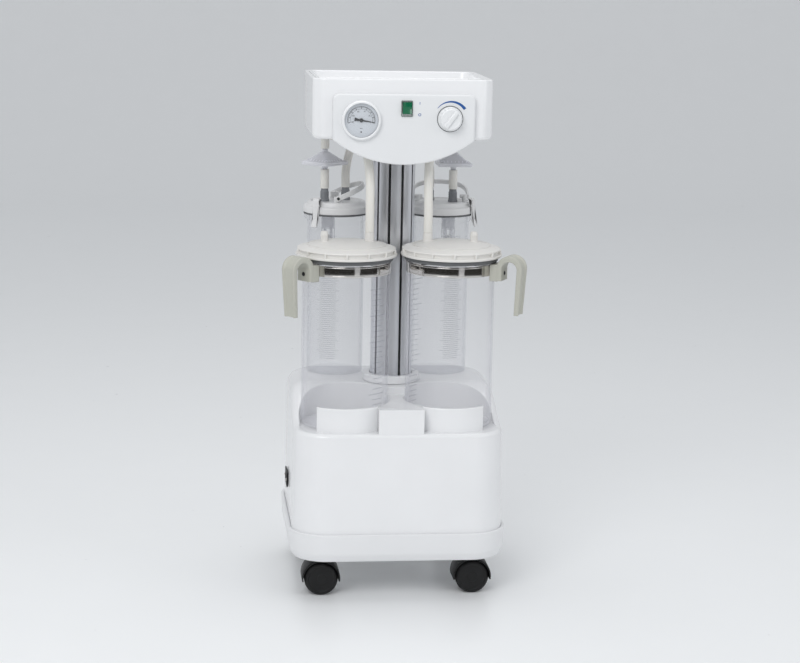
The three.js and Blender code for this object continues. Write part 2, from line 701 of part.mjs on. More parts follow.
// ---- Front jars: made about their own axis at the origin, then moved ----
function frontJar() {
  const r = FRONT_JAR_R;
  const low = DECK_Z + GAP;
  const inner = r - FRONT_JAR_WALL;
  return turned([
    [0, low], [r - 6, low], [r - 1.5, low + 2], [r, low + 7], [r, FRONT_JAR_RIM], [inner, FRONT_JAR_RIM],
    [inner, low + 9], [inner - 6, low + 4], [0, low + 4],
  ], LARGE_ROUND);
}

function jarBand() {
  const inner = FRONT_JAR_R + GAP;
  const band = ring(inner, inner + BAND_THICKNESS, BAND_BOTTOM, BAND_BOTTOM + BAND_HEIGHT, LARGE_ROUND);
  return band;
}

function lidGasket() {
  const low = FRONT_JAR_RIM + GAP;
  return ring(FRONT_JAR_R - 8, GASKET_R, low, low + GASKET_HEIGHT, LARGE_ROUND);
}

const LID_LOW = FRONT_JAR_RIM + GASKET_HEIGHT + 2 * GAP;
const LID_TOP = LID_LOW + LID_RIM_HEIGHT + LID_DOME;
const NOZZLE_TOP = LID_TOP - 5 + NOZZLE_HEIGHT;

function domeHeight(r) {
  const share = r / (LID_R - 4);
  return LID_DOME * (1 - share * share);
}

// Nozzle places are measured from the jar's axis; the hose side points to the column.
function nozzlePlaces(side) {
  return { hose: [-side * 40, 9], bare: [side * 38, -2] };
}

function jarLid(side) {
  const shoulder = LID_LOW + LID_RIM_HEIGHT;
  const steps = 4;
  const domeR = (i) => (LID_R - 4) * (1 - i / steps);
  const top = Array.from({ length: steps + 1 }, (_, i) => [domeR(i), shoulder + domeHeight(domeR(i))]);
  const under = Array.from({ length: steps }, (_, i) => {
    const r = domeR(steps - i) * 0.82;
    return [r, shoulder + domeHeight(r) - LID_WALL];
  });
  const plug = FRONT_JAR_R - FRONT_JAR_WALL - 5.5;
  let lid = turned([
    [0, LID_LOW + 2], [plug - 5, LID_LOW + 2], [plug - 5, LID_LOW - 12], [plug, LID_LOW - 12],
    [plug, LID_LOW], [LID_R, LID_LOW], [LID_R, LID_LOW + LID_FLANGE], [LID_R - 5, LID_LOW + LID_FLANGE],
    [LID_R - 5, shoulder - 2], ...top,
  ], LID_ROUND);
  const hollow = turned([
    [0, LID_LOW], [plug - 8, LID_LOW], [plug - 8, LID_LOW + 6], ...under.toReversed(),
  ], LID_ROUND);
  lid = lid.subtract(hollow);
  for (let i = 0; i < LID_RIBS; i += 1) {
    const rib = box(6, 3.2, LID_RIM_HEIGHT - LID_FLANGE + 1, LID_R - 4, 0, LID_LOW + LID_FLANGE + 4);
    lid = lid.add(rib.rotate([0, 0, (360 * (i + 0.35)) / LID_RIBS]));
  }
  const places = nozzlePlaces(side);
  lid = lid.add(rod(HOSE_R + 0.6, LID_TOP - 12, NOZZLE_TOP - 3, 12).translate([...places.hose, 0]));
  lid = lid.add(rod(NOZZLE_R, LID_TOP - 12, NOZZLE_TOP, 12).translate([...places.bare, 0]));
  for (const place of Object.values(places)) {
    lid = lid.subtract(rod(3.6, LID_LOW, NOZZLE_TOP + 1, 8).translate([...place, 0]));
  }
  return lid;
}

// A hook-shaped jug handle, drawn in radius and height, then swung round the jar.
function jarHandle() {
  const wall = FRONT_JAR_R + GAP + BAND_THICKNESS + GAP;
  const reach = FRONT_JAR_R + HANDLE_REACH;
  const archR = 23;
  const archX = reach - archR;
  const archZ = 568;
  const thickness = 10;
  const outer = [];
  const inner = [];
  for (let i = 0; i <= 8; i += 1) {
    const angle = 180 - (180 * i) / 8;
    const [cosine, sine] = polar(1, angle);
    outer.push([archX + archR * cosine, archZ + archR * sine]);
    inner.push([archX + (archR - thickness) * cosine, archZ + (archR - thickness) * sine]);
  }
  const section = [
    [wall, 546], [wall, 574], [archX - archR, 574], ...outer.slice(2),
    [reach - 6, HANDLE_BOTTOM], [reach - 14, HANDLE_BOTTOM], ...inner.toReversed(),
    [archX - archR + thickness, 546],
  ];
  const half = HANDLE_WIDTH / 2;
  const turn = new THREE.Matrix4().makeRotationX(Math.PI / 2).setPosition(0, half, 0);
  const hook = solid(geometryOf(extruded(outline(section), 0, HANDLE_WIDTH)).applyMatrix4(turn));
  const screw = laid(rod(2.6, 0, 40, 16), [1, 0, 0], archX - archR + 4, 0, 559);
  const groove = box(6, HANDLE_WIDTH - 10, 66, reach + 0.2, 0, HANDLE_BOTTOM + 43);
  const seat = ring(0.1, wall, 500, 600, LARGE_ROUND);
  return hook.subtract(seat).subtract(screw).subtract(groove);
}

// ---- Rear jars: made about their own axis at the origin, then moved ----
function rearJar() {
  const r = REAR_JAR_R;
  const low = PLATFORM_Z + GAP;
  const inner = r - REAR_JAR_WALL;
  const flange = REAR_LID_R - 1;
  return turned([
    [0, low], [r - 8, low], [r - 3.5, low + 2.5], [r, low + 9], [r, REAR_JAR_RIM - 8],
    [flange, REAR_JAR_RIM - 4], [flange, REAR_JAR_RIM], [inner, REAR_JAR_RIM],
    [inner, low + 10], [inner - 7, low + 4], [0, low + 4],
  ]);
}

function rearGasket() {
  const low = REAR_JAR_RIM + GAP;
  return ring(REAR_JAR_R - REAR_JAR_WALL - 1, REAR_LID_R - 0.6, low, low + REAR_GASKET);
}

const REAR_LID_LOW = REAR_JAR_RIM + REAR_GASKET + 2 * GAP;
const REAR_LID_TOP = REAR_LID_LOW + REAR_LID_HEIGHT;
const SLEEVE_TOP = REAR_LID_TOP + SLEEVE_HEIGHT;
const BAIL_Z = REAR_LID_TOP + BAIL_RISE;
const CLIP_TOP = REAR_LID_TOP + CLIP_RISE;
const CLIP_BOTTOM = REAR_LID_LOW - CLIP_DROP;

// From the jar's axis: the filter's sleeve, the arch hose's sleeve and the float cage.
function rearPlaces(side) {
  return { filter: [side * 21, 0], hose: [-side * 18, 21], cage: [side * 14, 0] };
}

function rearLid(side) {
  const shoulder = REAR_LID_LOW + REAR_SKIRT_HEIGHT + 1.5;
  let lid = turned([
    [0, REAR_LID_LOW], [REAR_LID_R, REAR_LID_LOW], [REAR_LID_R, shoulder - 1.5],
    [REAR_LID_R - 3, shoulder], [REAR_LID_R - 5, shoulder], [REAR_LID_R - 8, REAR_LID_TOP],
    [0, REAR_LID_TOP],
  ]);
  const places = rearPlaces(side);
  for (const place of [places.filter, places.hose]) {
    lid = lid.add(rod(SLEEVE_R, REAR_LID_TOP - 1, SLEEVE_TOP).translate([...place, 0]));
  }
  const turn = side < 0 ? BAIL_TURN.left : BAIL_TURN.right;
  for (const lug of [-1, 1]) {
    const ear = box(5, 12, 18, lug * BAIL_LUG_X, 0, REAR_LID_TOP + 4);
    const hole = laid(rod(2.3, -8, 8, 16), [1, 0, 0], lug * BAIL_LUG_X, 0, BAIL_Z);
    lid = lid.add(ear.rotate([0, 0, turn])).subtract(hole.rotate([0, 0, turn]));
  }
  for (const place of [places.filter, places.hose]) {
    lid = lid.subtract(rod(3.2, REAR_LID_LOW - 1, SLEEVE_TOP + 1, 8).translate([...place, 0]));
  }
  const clipSeat = box(8, 13, 40, REAR_LID_R + 1.4, 0, REAR_LID_LOW + 12)
    .rotate([0, 0, clipTurn(side)]);
  return lid.subtract(clipSeat);
}

// A flat hoop drawn about its pivots, raised from level and turned to the side it leans to.
function rearBail(side) {
  const arc = (r) => {
    const points = [];
    for (let i = 0; i <= 10; i += 1) {
      const [cosine, sine] = polar(1, (180 * i) / 10);
      points.push([(BAIL_HALF_X + r) * cosine, 8 + (BAIL_REACH - 8 + r) * sine]);
    }
    return points;
  };
  const half = BAIL_THICKNESS / 2;
  const strap = [
    [BAIL_HALF_X + half, -5], ...arc(half), [-BAIL_HALF_X - half, -5],
    [-BAIL_HALF_X + half, -5], ...arc(-half).toReversed(), [BAIL_HALF_X - half, -5],
  ];
  let bail = extruded(outline(strap), -BAIL_WIDTH / 2, BAIL_WIDTH / 2);
  for (const lug of [-1, 1]) {
    bail = bail.add(laid(rod(2, -5.6, 5.6, 16), [1, 0, 0], lug * (BAIL_HALF_X - 4.6), 0, 0));
  }
  const turn = side < 0 ? BAIL_TURN.left : BAIL_TURN.right;
  return bail.rotate([BAIL_TILT, 0, 0]).rotate([0, 0, turn]).translate([0, 0, BAIL_Z]);
}

// Degrees about Z that turn a piece drawn at +X to the clip's side of the jar.
function clipTurn(side) {
  return side < 0 ? 180 + CLIP_ANGLE.left : -CLIP_ANGLE.right;
}

// A lever clip, drawn in radius and height: a hooked top, a straight body and a flared tab.
function rearClip(side) {
  const r = REAR_LID_R + 0.7;
  const section = [
    [r - 6, CLIP_TOP - 3], [r - 6, CLIP_TOP], [r + 2, CLIP_TOP], [r + 4, CLIP_TOP - 3],
    [r + 4, CLIP_BOTTOM + 14], [r + 10, CLIP_BOTTOM], [r + 6, CLIP_BOTTOM], [r, CLIP_BOTTOM + 14],
    [r, CLIP_TOP - 3],
  ];
  const turn = new THREE.Matrix4().makeRotationX(Math.PI / 2).setPosition(0, CLIP_WIDTH / 2, 0);
  const clip = solid(geometryOf(extruded(outline(section), 0, CLIP_WIDTH)).applyMatrix4(turn));
  return clip.rotate([0, 0, clipTurn(side)]);
}

function floatCage(side) {
  const high = REAR_JAR_RIM - 1;
  const low = high - CAGE_LENGTH;
  const tube = turned([
    [4, low], [CAGE_R, low], [CAGE_R, high], [CAGE_R - CAGE_WALL, high], [CAGE_R - CAGE_WALL, low + 2],
    [4, low + 2], [4, low],
  ], 18);
  const flange = ring(CAGE_R - CAGE_WALL, CAGE_R + 3, high - 2, REAR_LID_LOW - GAP, 18);
  const [x, y] = rearPlaces(side).cage;
  return tube.add(flange).translate([x, y, 0]);
}

function floatBody(side) {
  const low = REAR_JAR_RIM - 1 - CAGE_LENGTH + 2 + GAP;
  const r = CAGE_R - CAGE_WALL - 1;
  const [x, y] = rearPlaces(side).cage;
  return turned([
    [0, low], [r - 2, low], [r, low + 2], [r, low + FLOAT_HEIGHT - 2], [r - 2, low + FLOAT_HEIGHT],
    [0, low + FLOAT_HEIGHT],
  ], 24).translate([x, y, 0]);
}

// ---- Hoses and filters ----
function archHosePoints(side) {
  const from = rearPlaces(side).hose;
  const to = nozzlePlaces(side).hose;
  const x0 = side * REAR_JAR_X + from[0];
  const x1 = side * FRONT_JAR_X + to[0];
  return [
    [x0, REAR_JAR_Y + from[1], SLEEVE_TOP + GAP],
    [x0, REAR_JAR_Y + from[1], SLEEVE_TOP + 28],
    [x0 + (x1 - x0) * 0.12, 124, 728],
    [x0 + (x1 - x0) * 0.3, 102, 754],
    [x0 + (x1 - x0) * 0.45, 66, 768],
    [x0 + (x1 - x0) * 0.6, 26, 772],
    [x0 + (x1 - x0) * 0.75, -12, 764],
    [x0 + (x1 - x0) * 0.9, -40, 742],
    [x1, -56, 708],
    [x1, FRONT_JAR_Y + to[1], 664],
    [x1, FRONT_JAR_Y + to[1], NOZZLE_TOP - 3 + GAP],
  ];
}

function archHose(side) {
  return sweep(archHosePoints(side), HOSE_R, HOSE_SIDES / 2, 24);
}

// A ribbed, square, pyramid-shaped air filter with a spigot at each end.
function airFilter(side) {
  const half = FILTER_SIDE / 2;
  const rise = FILTER_HEIGHT - FILTER_PLATE;
  const top = FILTER_BASE_Z + FILTER_HEIGHT;
  const pyramid = new THREE.CylinderGeometry(9 * Math.SQRT2, half * Math.SQRT2, rise, 4, 1)
    .rotateX(Math.PI / 2).rotateZ(Math.PI / 4).translate(0, 0, top - rise / 2);
  const plate = box(FILTER_SIDE, FILTER_SIDE, FILTER_PLATE, 0, 0, FILTER_BASE_Z + FILTER_PLATE / 2);
  const filter = solid(pyramid).add(plate)
    .add(rod(FILTER_SPIGOT_R, FILTER_BASE_Z - 8, FILTER_BASE_Z + 1, 20))
    .add(rod(FILTER_SPIGOT_R, top - 1, top + 6, 20))
    .subtract(rod(2.6, FILTER_BASE_Z - 9, top + 7, 12));
  return filter.rotate([0, 0, side < 0 ? 45 : 0]);
}

function shortTube(low, high) {
  return rod(HOSE_R, low, high, 20);
}

// ---- Assembly ----
addPiece('base_pan', basePan(), finishes.shell);
addPiece('base_cover', baseCover(), finishes.shell);
addPiece('power_inlet', powerInlet(), finishes.black);
addPiece('pump_motor', pumpMotor(), finishes.castMetal);
addPiece('pump_crankcase', pumpCrankcase(), finishes.castMetal);
addPiece('pump_cylinder_head', pumpCylinderHead(), finishes.aluminium);
addPiece('cooling_fan', coolingFan(), finishes.black);
addPiece('column', columnBody(), finishes.aluminium);
addPiece('column_collar', columnCollar(), finishes.shell);
addPiece('head_shell', headShell(), finishes.shell);
addPiece('head_tray', headTray(), finishes.shell);
addPiece('front_panel', frontPanel(), finishes.panel);
addPiece('gauge_case', gaugeCase(), finishes.shell);
addPiece('gauge_dial', gaugeDial(), finishes.dial);
addPiece('gauge_needle', gaugeNeedle(), finishes.black);
addPiece('gauge_lens', gaugeLens(), finishes.clear);
addPiece('rocker_frame', rockerFrame(), finishes.black);
addPiece('power_rocker', powerRocker(), finishes.green);
addPiece('regulator_knob', regulatorKnob(), finishes.shell);
addPiece('regulator_valve', regulatorValve(), finishes.castMetal);

const casterNames = ['front_left', 'front_right', 'rear_left', 'rear_right'];
casterPlaces().forEach(([x, y], i) => {
  const caster = new THREE.Group();
  caster.position.set(x, y, 0);
  caster.rotation.z = x < 0 ? 0 : Math.PI;
  pump.add(caster);
  addPiece(`caster_hood_${casterNames[i]}`, casterHood(), finishes.black, caster);
  addPiece(`caster_wheels_${casterNames[i]}`, casterWheels(), finishes.black, caster);
});

for (const [word, side] of [['left', -1], ['right', 1]]) {
  const front = new THREE.Group();
  front.position.set(side * FRONT_JAR_X, FRONT_JAR_Y, 0);
  pump.add(front);
  addPiece(`front_jar_${word}`, frontJar(), finishes.clear, front);
  addPiece(`jar_band_${word}`, jarBand(), finishes.steel, front);
  addPiece(`lid_gasket_${word}`, lidGasket(), finishes.rubber, front);
  addPiece(`jar_lid_${word}`, jarLid(side), finishes.lid, front);
  const handle = addPiece(`jar_handle_${word}`, jarHandle(), finishes.handle, front);
  handle.rotation.z = side < 0 ? Math.PI + degrees(HANDLE_ANGLE.left) : -degrees(HANDLE_ANGLE.right);

  const rear = new THREE.Group();
  rear.position.set(side * REAR_JAR_X, REAR_JAR_Y, 0);
  pump.add(rear);
  addPiece(`rear_jar_${word}`, rearJar(), finishes.clear, rear);
  addPiece(`rear_gasket_${word}`, rearGasket(), finishes.rubber, rear);
  addPiece(`rear_lid_${word}`, rearLid(side), finishes.lid, rear);
  addPiece(`rear_bail_${word}`, rearBail(side), finishes.lid, rear);
  addPiece(`rear_clip_${word}`, rearClip(side), finishes.lid, rear);
  addPiece(`float_cage_${word}`, floatCage(side), finishes.clear, rear);
  addPiece(`float_${word}`, floatBody(side), finishes.lid, rear);

  const [filterX, filterY] = rearPlaces(side).filter;
  const line = new THREE.Group();
  line.position.set(filterX, filterY, 0);
  rear.add(line);
  addPiece(`air_filter_${word}`, airFilter(side), finishes.filter, line);
  addPiece(`lower_tube_${word}`, shortTube(SLEEVE_TOP + GAP, FILTER_BASE_Z - 8 - GAP), finishes.hose, line);
  addPiece(
    `upper_tube_${word}`,
    shortTube(FILTER_BASE_Z + FILTER_HEIGHT + 6 + GAP, HEAD_BOTTOM - GAP), finishes.hose, line,
  );
  addPiece(`arch_hose_${word}`, archHose(side), finishes.hose);
}

export default pump;
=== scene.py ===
"""A mobile suction pump, dressed for a studio view: cabinet, jars, column, control head and casters."""

import logging
from dataclasses import dataclass
from enum import Enum
from math import acos, asin, cos, pi, radians, sin

import bmesh
import bpy
import numpy as np
from mathutils import Matrix, Vector


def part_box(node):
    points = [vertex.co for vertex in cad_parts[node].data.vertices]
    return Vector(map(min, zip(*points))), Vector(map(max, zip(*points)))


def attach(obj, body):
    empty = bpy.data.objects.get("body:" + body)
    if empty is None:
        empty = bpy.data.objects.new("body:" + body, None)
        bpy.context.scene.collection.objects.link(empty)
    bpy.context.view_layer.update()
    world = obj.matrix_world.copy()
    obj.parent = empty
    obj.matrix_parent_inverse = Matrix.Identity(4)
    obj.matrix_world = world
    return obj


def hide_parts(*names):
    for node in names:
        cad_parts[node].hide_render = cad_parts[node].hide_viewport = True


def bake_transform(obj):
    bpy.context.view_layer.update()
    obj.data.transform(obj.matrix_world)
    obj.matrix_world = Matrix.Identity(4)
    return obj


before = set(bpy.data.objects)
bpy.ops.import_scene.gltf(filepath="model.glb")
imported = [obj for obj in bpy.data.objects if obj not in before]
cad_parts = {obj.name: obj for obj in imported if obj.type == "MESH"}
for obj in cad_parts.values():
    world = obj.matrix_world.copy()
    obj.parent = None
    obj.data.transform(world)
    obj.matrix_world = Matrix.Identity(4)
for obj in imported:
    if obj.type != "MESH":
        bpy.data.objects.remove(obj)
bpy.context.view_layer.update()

log = logging.getLogger("suction_pump")
MM = 0.001
CLEAR_WALLS = 32  # Clear walls that light may pass one after another.


class Side(Enum):
    """The two sides of the pump as seen from the front, with the sign of X."""

    LEFT = -1
    RIGHT = 1

    @property
    def word(self) -> str:
        """Gives the side's name as used in node names."""
        return self.name.lower()


class Corner(Enum):
    """The four casters, with the signs of X and Y."""

    FRONT_LEFT = (-1, -1)
    FRONT_RIGHT = (1, -1)
    REAR_LEFT = (-1, 1)
    REAR_RIGHT = (1, 1)

    @property
    def word(self) -> str:
        """Gives the corner's name as used in node names."""
        return self.name.lower()


# ---- Surfaces ----
@dataclass
class Surface:
    """Points and faces of one mesh, in millimetres."""

    points: np.ndarray
    faces: list

    def moved(self, x: float = 0.0, y: float = 0.0, z: float = 0.0) -> "Surface":
        """Gives a copy moved by x, y and z."""
        return Surface(self.points + np.array([x, y, z]), self.faces)

    def turned(self, angle: float, axis: str = "Z") -> "Surface":
        """Gives a copy turned about an axis through the origin, by degrees."""
        matrix = np.array(Matrix.Rotation(radians(angle), 3, axis))
        return Surface(self.points @ matrix.T, self.faces)

    def facing_front(self, x: float, y: float, z: float) -> "Surface":
        """Gives a copy whose Z runs to the front, -Y, with its origin at x, y, z."""
        return self.turned(90, "X").moved(x, y, z)

    def plus(self, *others: "Surface") -> "Surface":
        """Gives this surface and the others as one."""
        points, faces = [self.points], list(self.faces)
        count = len(self.points)
        for other in others:
            points.append(other.points)
            faces += [tuple(int(i) + count for i in face) for face in other.faces]
            count += len(other.points)
        return Surface(np.vstack(points), faces)


def polar(radius: float | np.ndarray, angle: np.ndarray) -> np.ndarray:
    """Gives points (x, y) from a radius, or radii, and angles in radians."""
    return np.column_stack([radius * np.cos(angle), radius * np.sin(angle)])


def directions(path: np.ndarray) -> np.ndarray:
    """Gives the unit direction of a path at each of its points."""
    along = np.gradient(path, axis=0)
    return along / np.linalg.norm(along, axis=1, keepdims=True)


def standing(centre: np.ndarray, out: np.ndarray, depth: np.ndarray, width: np.ndarray) -> np.ndarray:
    """Places a section on a path in the XZ plane: its depth along out and its width along Y."""
    return np.column_stack([centre[0] + out[0] * depth, width, centre[1] + out[1] * depth])


def grid_faces(rows: int, columns: int, wrap_columns: bool, wrap_rows: bool = False) -> list:
    """Joins a grid of points with four-sided faces.

    Args:
        rows: Number of rows of points.
        columns: Number of points in a row.
        wrap_columns: Whether a row closes on itself.
        wrap_rows: Whether the last row joins the first.

    Returns:
        Faces as tuples of point numbers.
    """
    row = np.arange(rows if wrap_rows else rows - 1)
    column = np.arange(columns if wrap_columns else columns - 1)
    r, c = np.meshgrid(row, column, indexing="ij")
    r2, c2 = (r + 1) % rows, (c + 1) % columns
    quads = np.stack([r * columns + c, r * columns + c2, r2 * columns + c2, r2 * columns + c], axis=-1)
    return [tuple(q) for q in quads.reshape(-1, 4).tolist()]


def rounded_line(corners: list, radius: float = 1.0, steps: int = 4) -> np.ndarray:
    """Rounds the inner corners of a profile.

    Each corner is replaced by a quadratic curve that starts and ends on its two legs, at the
    radius or at 0.45 of the shorter leg.

    Args:
        corners: Points (r, z), in order.
        radius: Length of leg that the curve takes up.
        steps: Pieces of each curve.

    Returns:
        Points of the rounded profile, shape (n, 2).
    """
    corner = np.array(corners, float)
    rounded = [corner[:1]]
    share = np.linspace(0, 1, steps + 1)[:, None]
    for before, here, after in zip(corner[:-2], corner[1:-1], corner[2:]):
        legs = before - here, after - here
        lengths = [np.linalg.norm(leg) for leg in legs]
        reach = min(radius, 0.45 * min(lengths))
        start, end = (here + leg / length * reach for leg, length in zip(legs, lengths))
        rounded.append((1 - share) ** 2 * start + 2 * share * (1 - share) * here + share**2 * end)
    rounded.append(corner[-1:])
    return np.vstack(rounded)


def revolved(profile: np.ndarray, around: int = 96, closed: bool = False) -> Surface:
    """Turns a profile about Z: x = r cos u, y = r sin u, z = z.

    Args:
        profile: Points (r, z). An open profile starts and ends on the axis.
        around: Points in a full turn.
        closed: Whether the profile is a loop that makes a ring.

    Returns:
        The surface; points on the axis are drawn together into one.
    """
    profile = np.asarray(profile, float)
    angle = np.linspace(0, 2 * pi, around, endpoint=False)
    radius, height = profile[:, :1], profile[:, 1:]
    x, y = radius * np.cos(angle), radius * np.sin(angle)
    z = np.repeat(height, around, axis=1)
    points = np.stack([x, y, z], axis=-1).reshape(-1, 3)
    return Surface(points, grid_faces(len(profile), around, True, closed))


def lofted(rings: np.ndarray, capped: bool = True) -> Surface:
    """Joins closed rings of points, one above the other, and closes the two ends.

    Args:
        rings: Array of shape (rings, points, 3).
        capped: Whether the ends are closed with flat faces.

    Returns:
        The surface.
    """
    count, around, _ = rings.shape
    faces = grid_faces(count, around, True)
    if capped:
        faces.append(tuple(range(around)))
        faces.append(tuple(range((count - 1) * around, count * around)))
    return Surface(rings.reshape(-1, 3), faces)


def prism(outline: np.ndarray, low: float, high: float, edge: float = 0.0, steps: int = 3) -> Surface:
    """Raises an outline from low to high along Z, with rounded top and bottom edges.

    Near each end the outline shrinks towards its middle by edge (1 - sin t) while it rises by
    edge (1 - cos t), so the edge is a quarter circle.

    Args:
        outline: Points (x, y) of a closed outline, anticlockwise.
        low: Height of the lower end.
        high: Height of the upper end.
        edge: Radius of the rounded edges.
        steps: Pieces in each quarter circle.

    Returns:
        The closed surface.
    """
    outline = np.asarray(outline, float)
    ahead, behind = np.roll(outline, -1, axis=0), np.roll(outline, 1, axis=0)
    along = ahead - behind
    normal = np.stack([along[:, 1], -along[:, 0]], axis=1)
    normal /= np.maximum(np.linalg.norm(normal, axis=1, keepdims=True), 1e-9)
    turn = np.linspace(0, pi / 2, steps + 1) if edge > 0 else np.zeros(1)
    inset = edge * (1 - np.sin(turn))
    rise = edge * (1 - np.cos(turn))
    levels = [(i, low + r) for i, r in zip(inset, rise)]
    levels += [(i, high - r) for i, r in zip(inset[::-1], rise[::-1])]
    rings = [np.column_stack([outline - normal * i, np.full(len(outline), z)]) for i, z in levels]
    return lofted(np.array(rings))


def rounded_rectangle(half_x: float, half_y: float, corner: float, steps: int = 12) -> np.ndarray:
    """Gives the outline of a rectangle whose corners are quarter circles."""
    quarters = []
    for quarter, (sx, sy) in enumerate([(1, -1), (1, 1), (-1, 1), (-1, -1)]):
        angle = np.linspace(0, pi / 2, steps + 1) + (quarter - 1) * pi / 2
        centre = np.array([sx * (half_x - corner), sy * (half_y - corner)])
        quarters.append(centre + polar(corner, angle))
    return np.vstack(quarters)


def block(size: tuple, centre: tuple, corner: float = 1.0) -> Surface:
    """Gives a block with rounded upright edges and rounded top and bottom edges."""
    outline = rounded_rectangle(size[0] / 2, size[1] / 2, corner, 4)
    return prism(outline, -size[2] / 2, size[2] / 2, corner * 0.6).moved(*centre)


def spline(points: list, steps: int) -> np.ndarray:
    """Draws a Catmull-Rom curve through points, with an equal number of steps in each span."""
    p = np.array(points, float)
    p = np.vstack([2 * p[0] - p[1], p, 2 * p[-1] - p[-2]])
    t = np.linspace(0, 1, steps, endpoint=False)[:, None]
    spans = [
        0.5 * (2 * b + (c - a) * t + (2 * a - 5 * b + 4 * c - d) * t**2 + (3 * b - a - 3 * c + d) * t**3)
        for a, b, c, d in zip(p[:-3], p[1:-2], p[2:-1], p[3:])
    ]
    return np.vstack(spans + [p[-2:-1]])


def tube(path: np.ndarray, radius: float, around: int = 20, bore: float = 0.0) -> Surface:
    """Carries a circle along a path: point = path + radius (cos u N + sin u B).

    N and B are two directions across the path, kept from turning by taking N from the one before.

    Args:
        path: Points of the centreline, shape (n, 3).
        radius: Outside radius.
        around: Points round the circle.
        bore: Radius of the hole, or 0 for a plain end.

    Returns:
        The closed surface.
    """
    along = directions(path)
    across = np.cross(along[0], [0.0, 1.0, 0.3])
    normals = []
    for direction in along:
        across = across - direction * (across @ direction)
        across = across / np.linalg.norm(across)
        normals.append(across)
    n = np.array(normals)[:, None, :]
    b = np.cross(along, np.array(normals))[:, None, :]
    angle = np.linspace(0, 2 * pi, around, endpoint=False)[None, :, None]
    circle = np.cos(angle) * n + np.sin(angle) * b
    outer = path[:, None, :] + radius * circle
    if bore <= 0:
        return lofted(outer)
    inner = path[::-1, None, :] + bore * circle[::-1]
    rings = np.concatenate([outer, inner])
    return Surface(rings.reshape(-1, 3), grid_faces(len(rings), around, True, True))


def lathe(corners: list, soft: float, around: int, steps: int = 4) -> Surface:
    """Rounds the corners of a profile that starts and ends on the axis, and turns it about Z."""
    return revolved(rounded_line(corners, soft, steps), around)


def lathe_ring(corners: list, soft: float, around: int, steps: int = 4) -> Surface:
    """Rounds all but the first corner of a closed profile, and turns it about Z to make a ring."""
    return revolved(rounded_line([*corners, corners[0]], soft, steps)[:-1], around, True)


def joined(parts: list) -> Surface:
    """Gives a list of surfaces as one."""
    return parts[0].plus(*parts[1:])


def linked(name: str, data: bpy.types.ID) -> bpy.types.Object:
    """Puts a mesh, camera, light or text into the scene as an object at the origin."""
    made = bpy.data.objects.new(name, data)
    bpy.context.scene.collection.objects.link(made)
    return made


# ---- Finishes ----
def noise(
    nodes: bpy.types.Nodes, links: bpy.types.NodeLinks, mapping, scale: float, detail: float
) -> bpy.types.Node:
    """Adds a noise texture that is laid out by the mapping."""
    made = nodes.new("ShaderNodeTexNoise")
    made.inputs["Scale"].default_value, made.inputs["Detail"].default_value = scale, detail
    links.new(mapping.outputs["Vector"], made.inputs["Vector"])
    return made


def ranged(
    nodes: bpy.types.Nodes, links: bpy.types.NodeLinks, source, socket, low: float, high: float
) -> None:
    """Feeds a texture into a socket, spread from low to high."""
    made = nodes.new("ShaderNodeMapRange")
    made.inputs["To Min"].default_value, made.inputs["To Max"].default_value = low, high
    links.new(source.outputs["Fac"], made.inputs["Value"])
    links.new(made.outputs["Result"], socket)


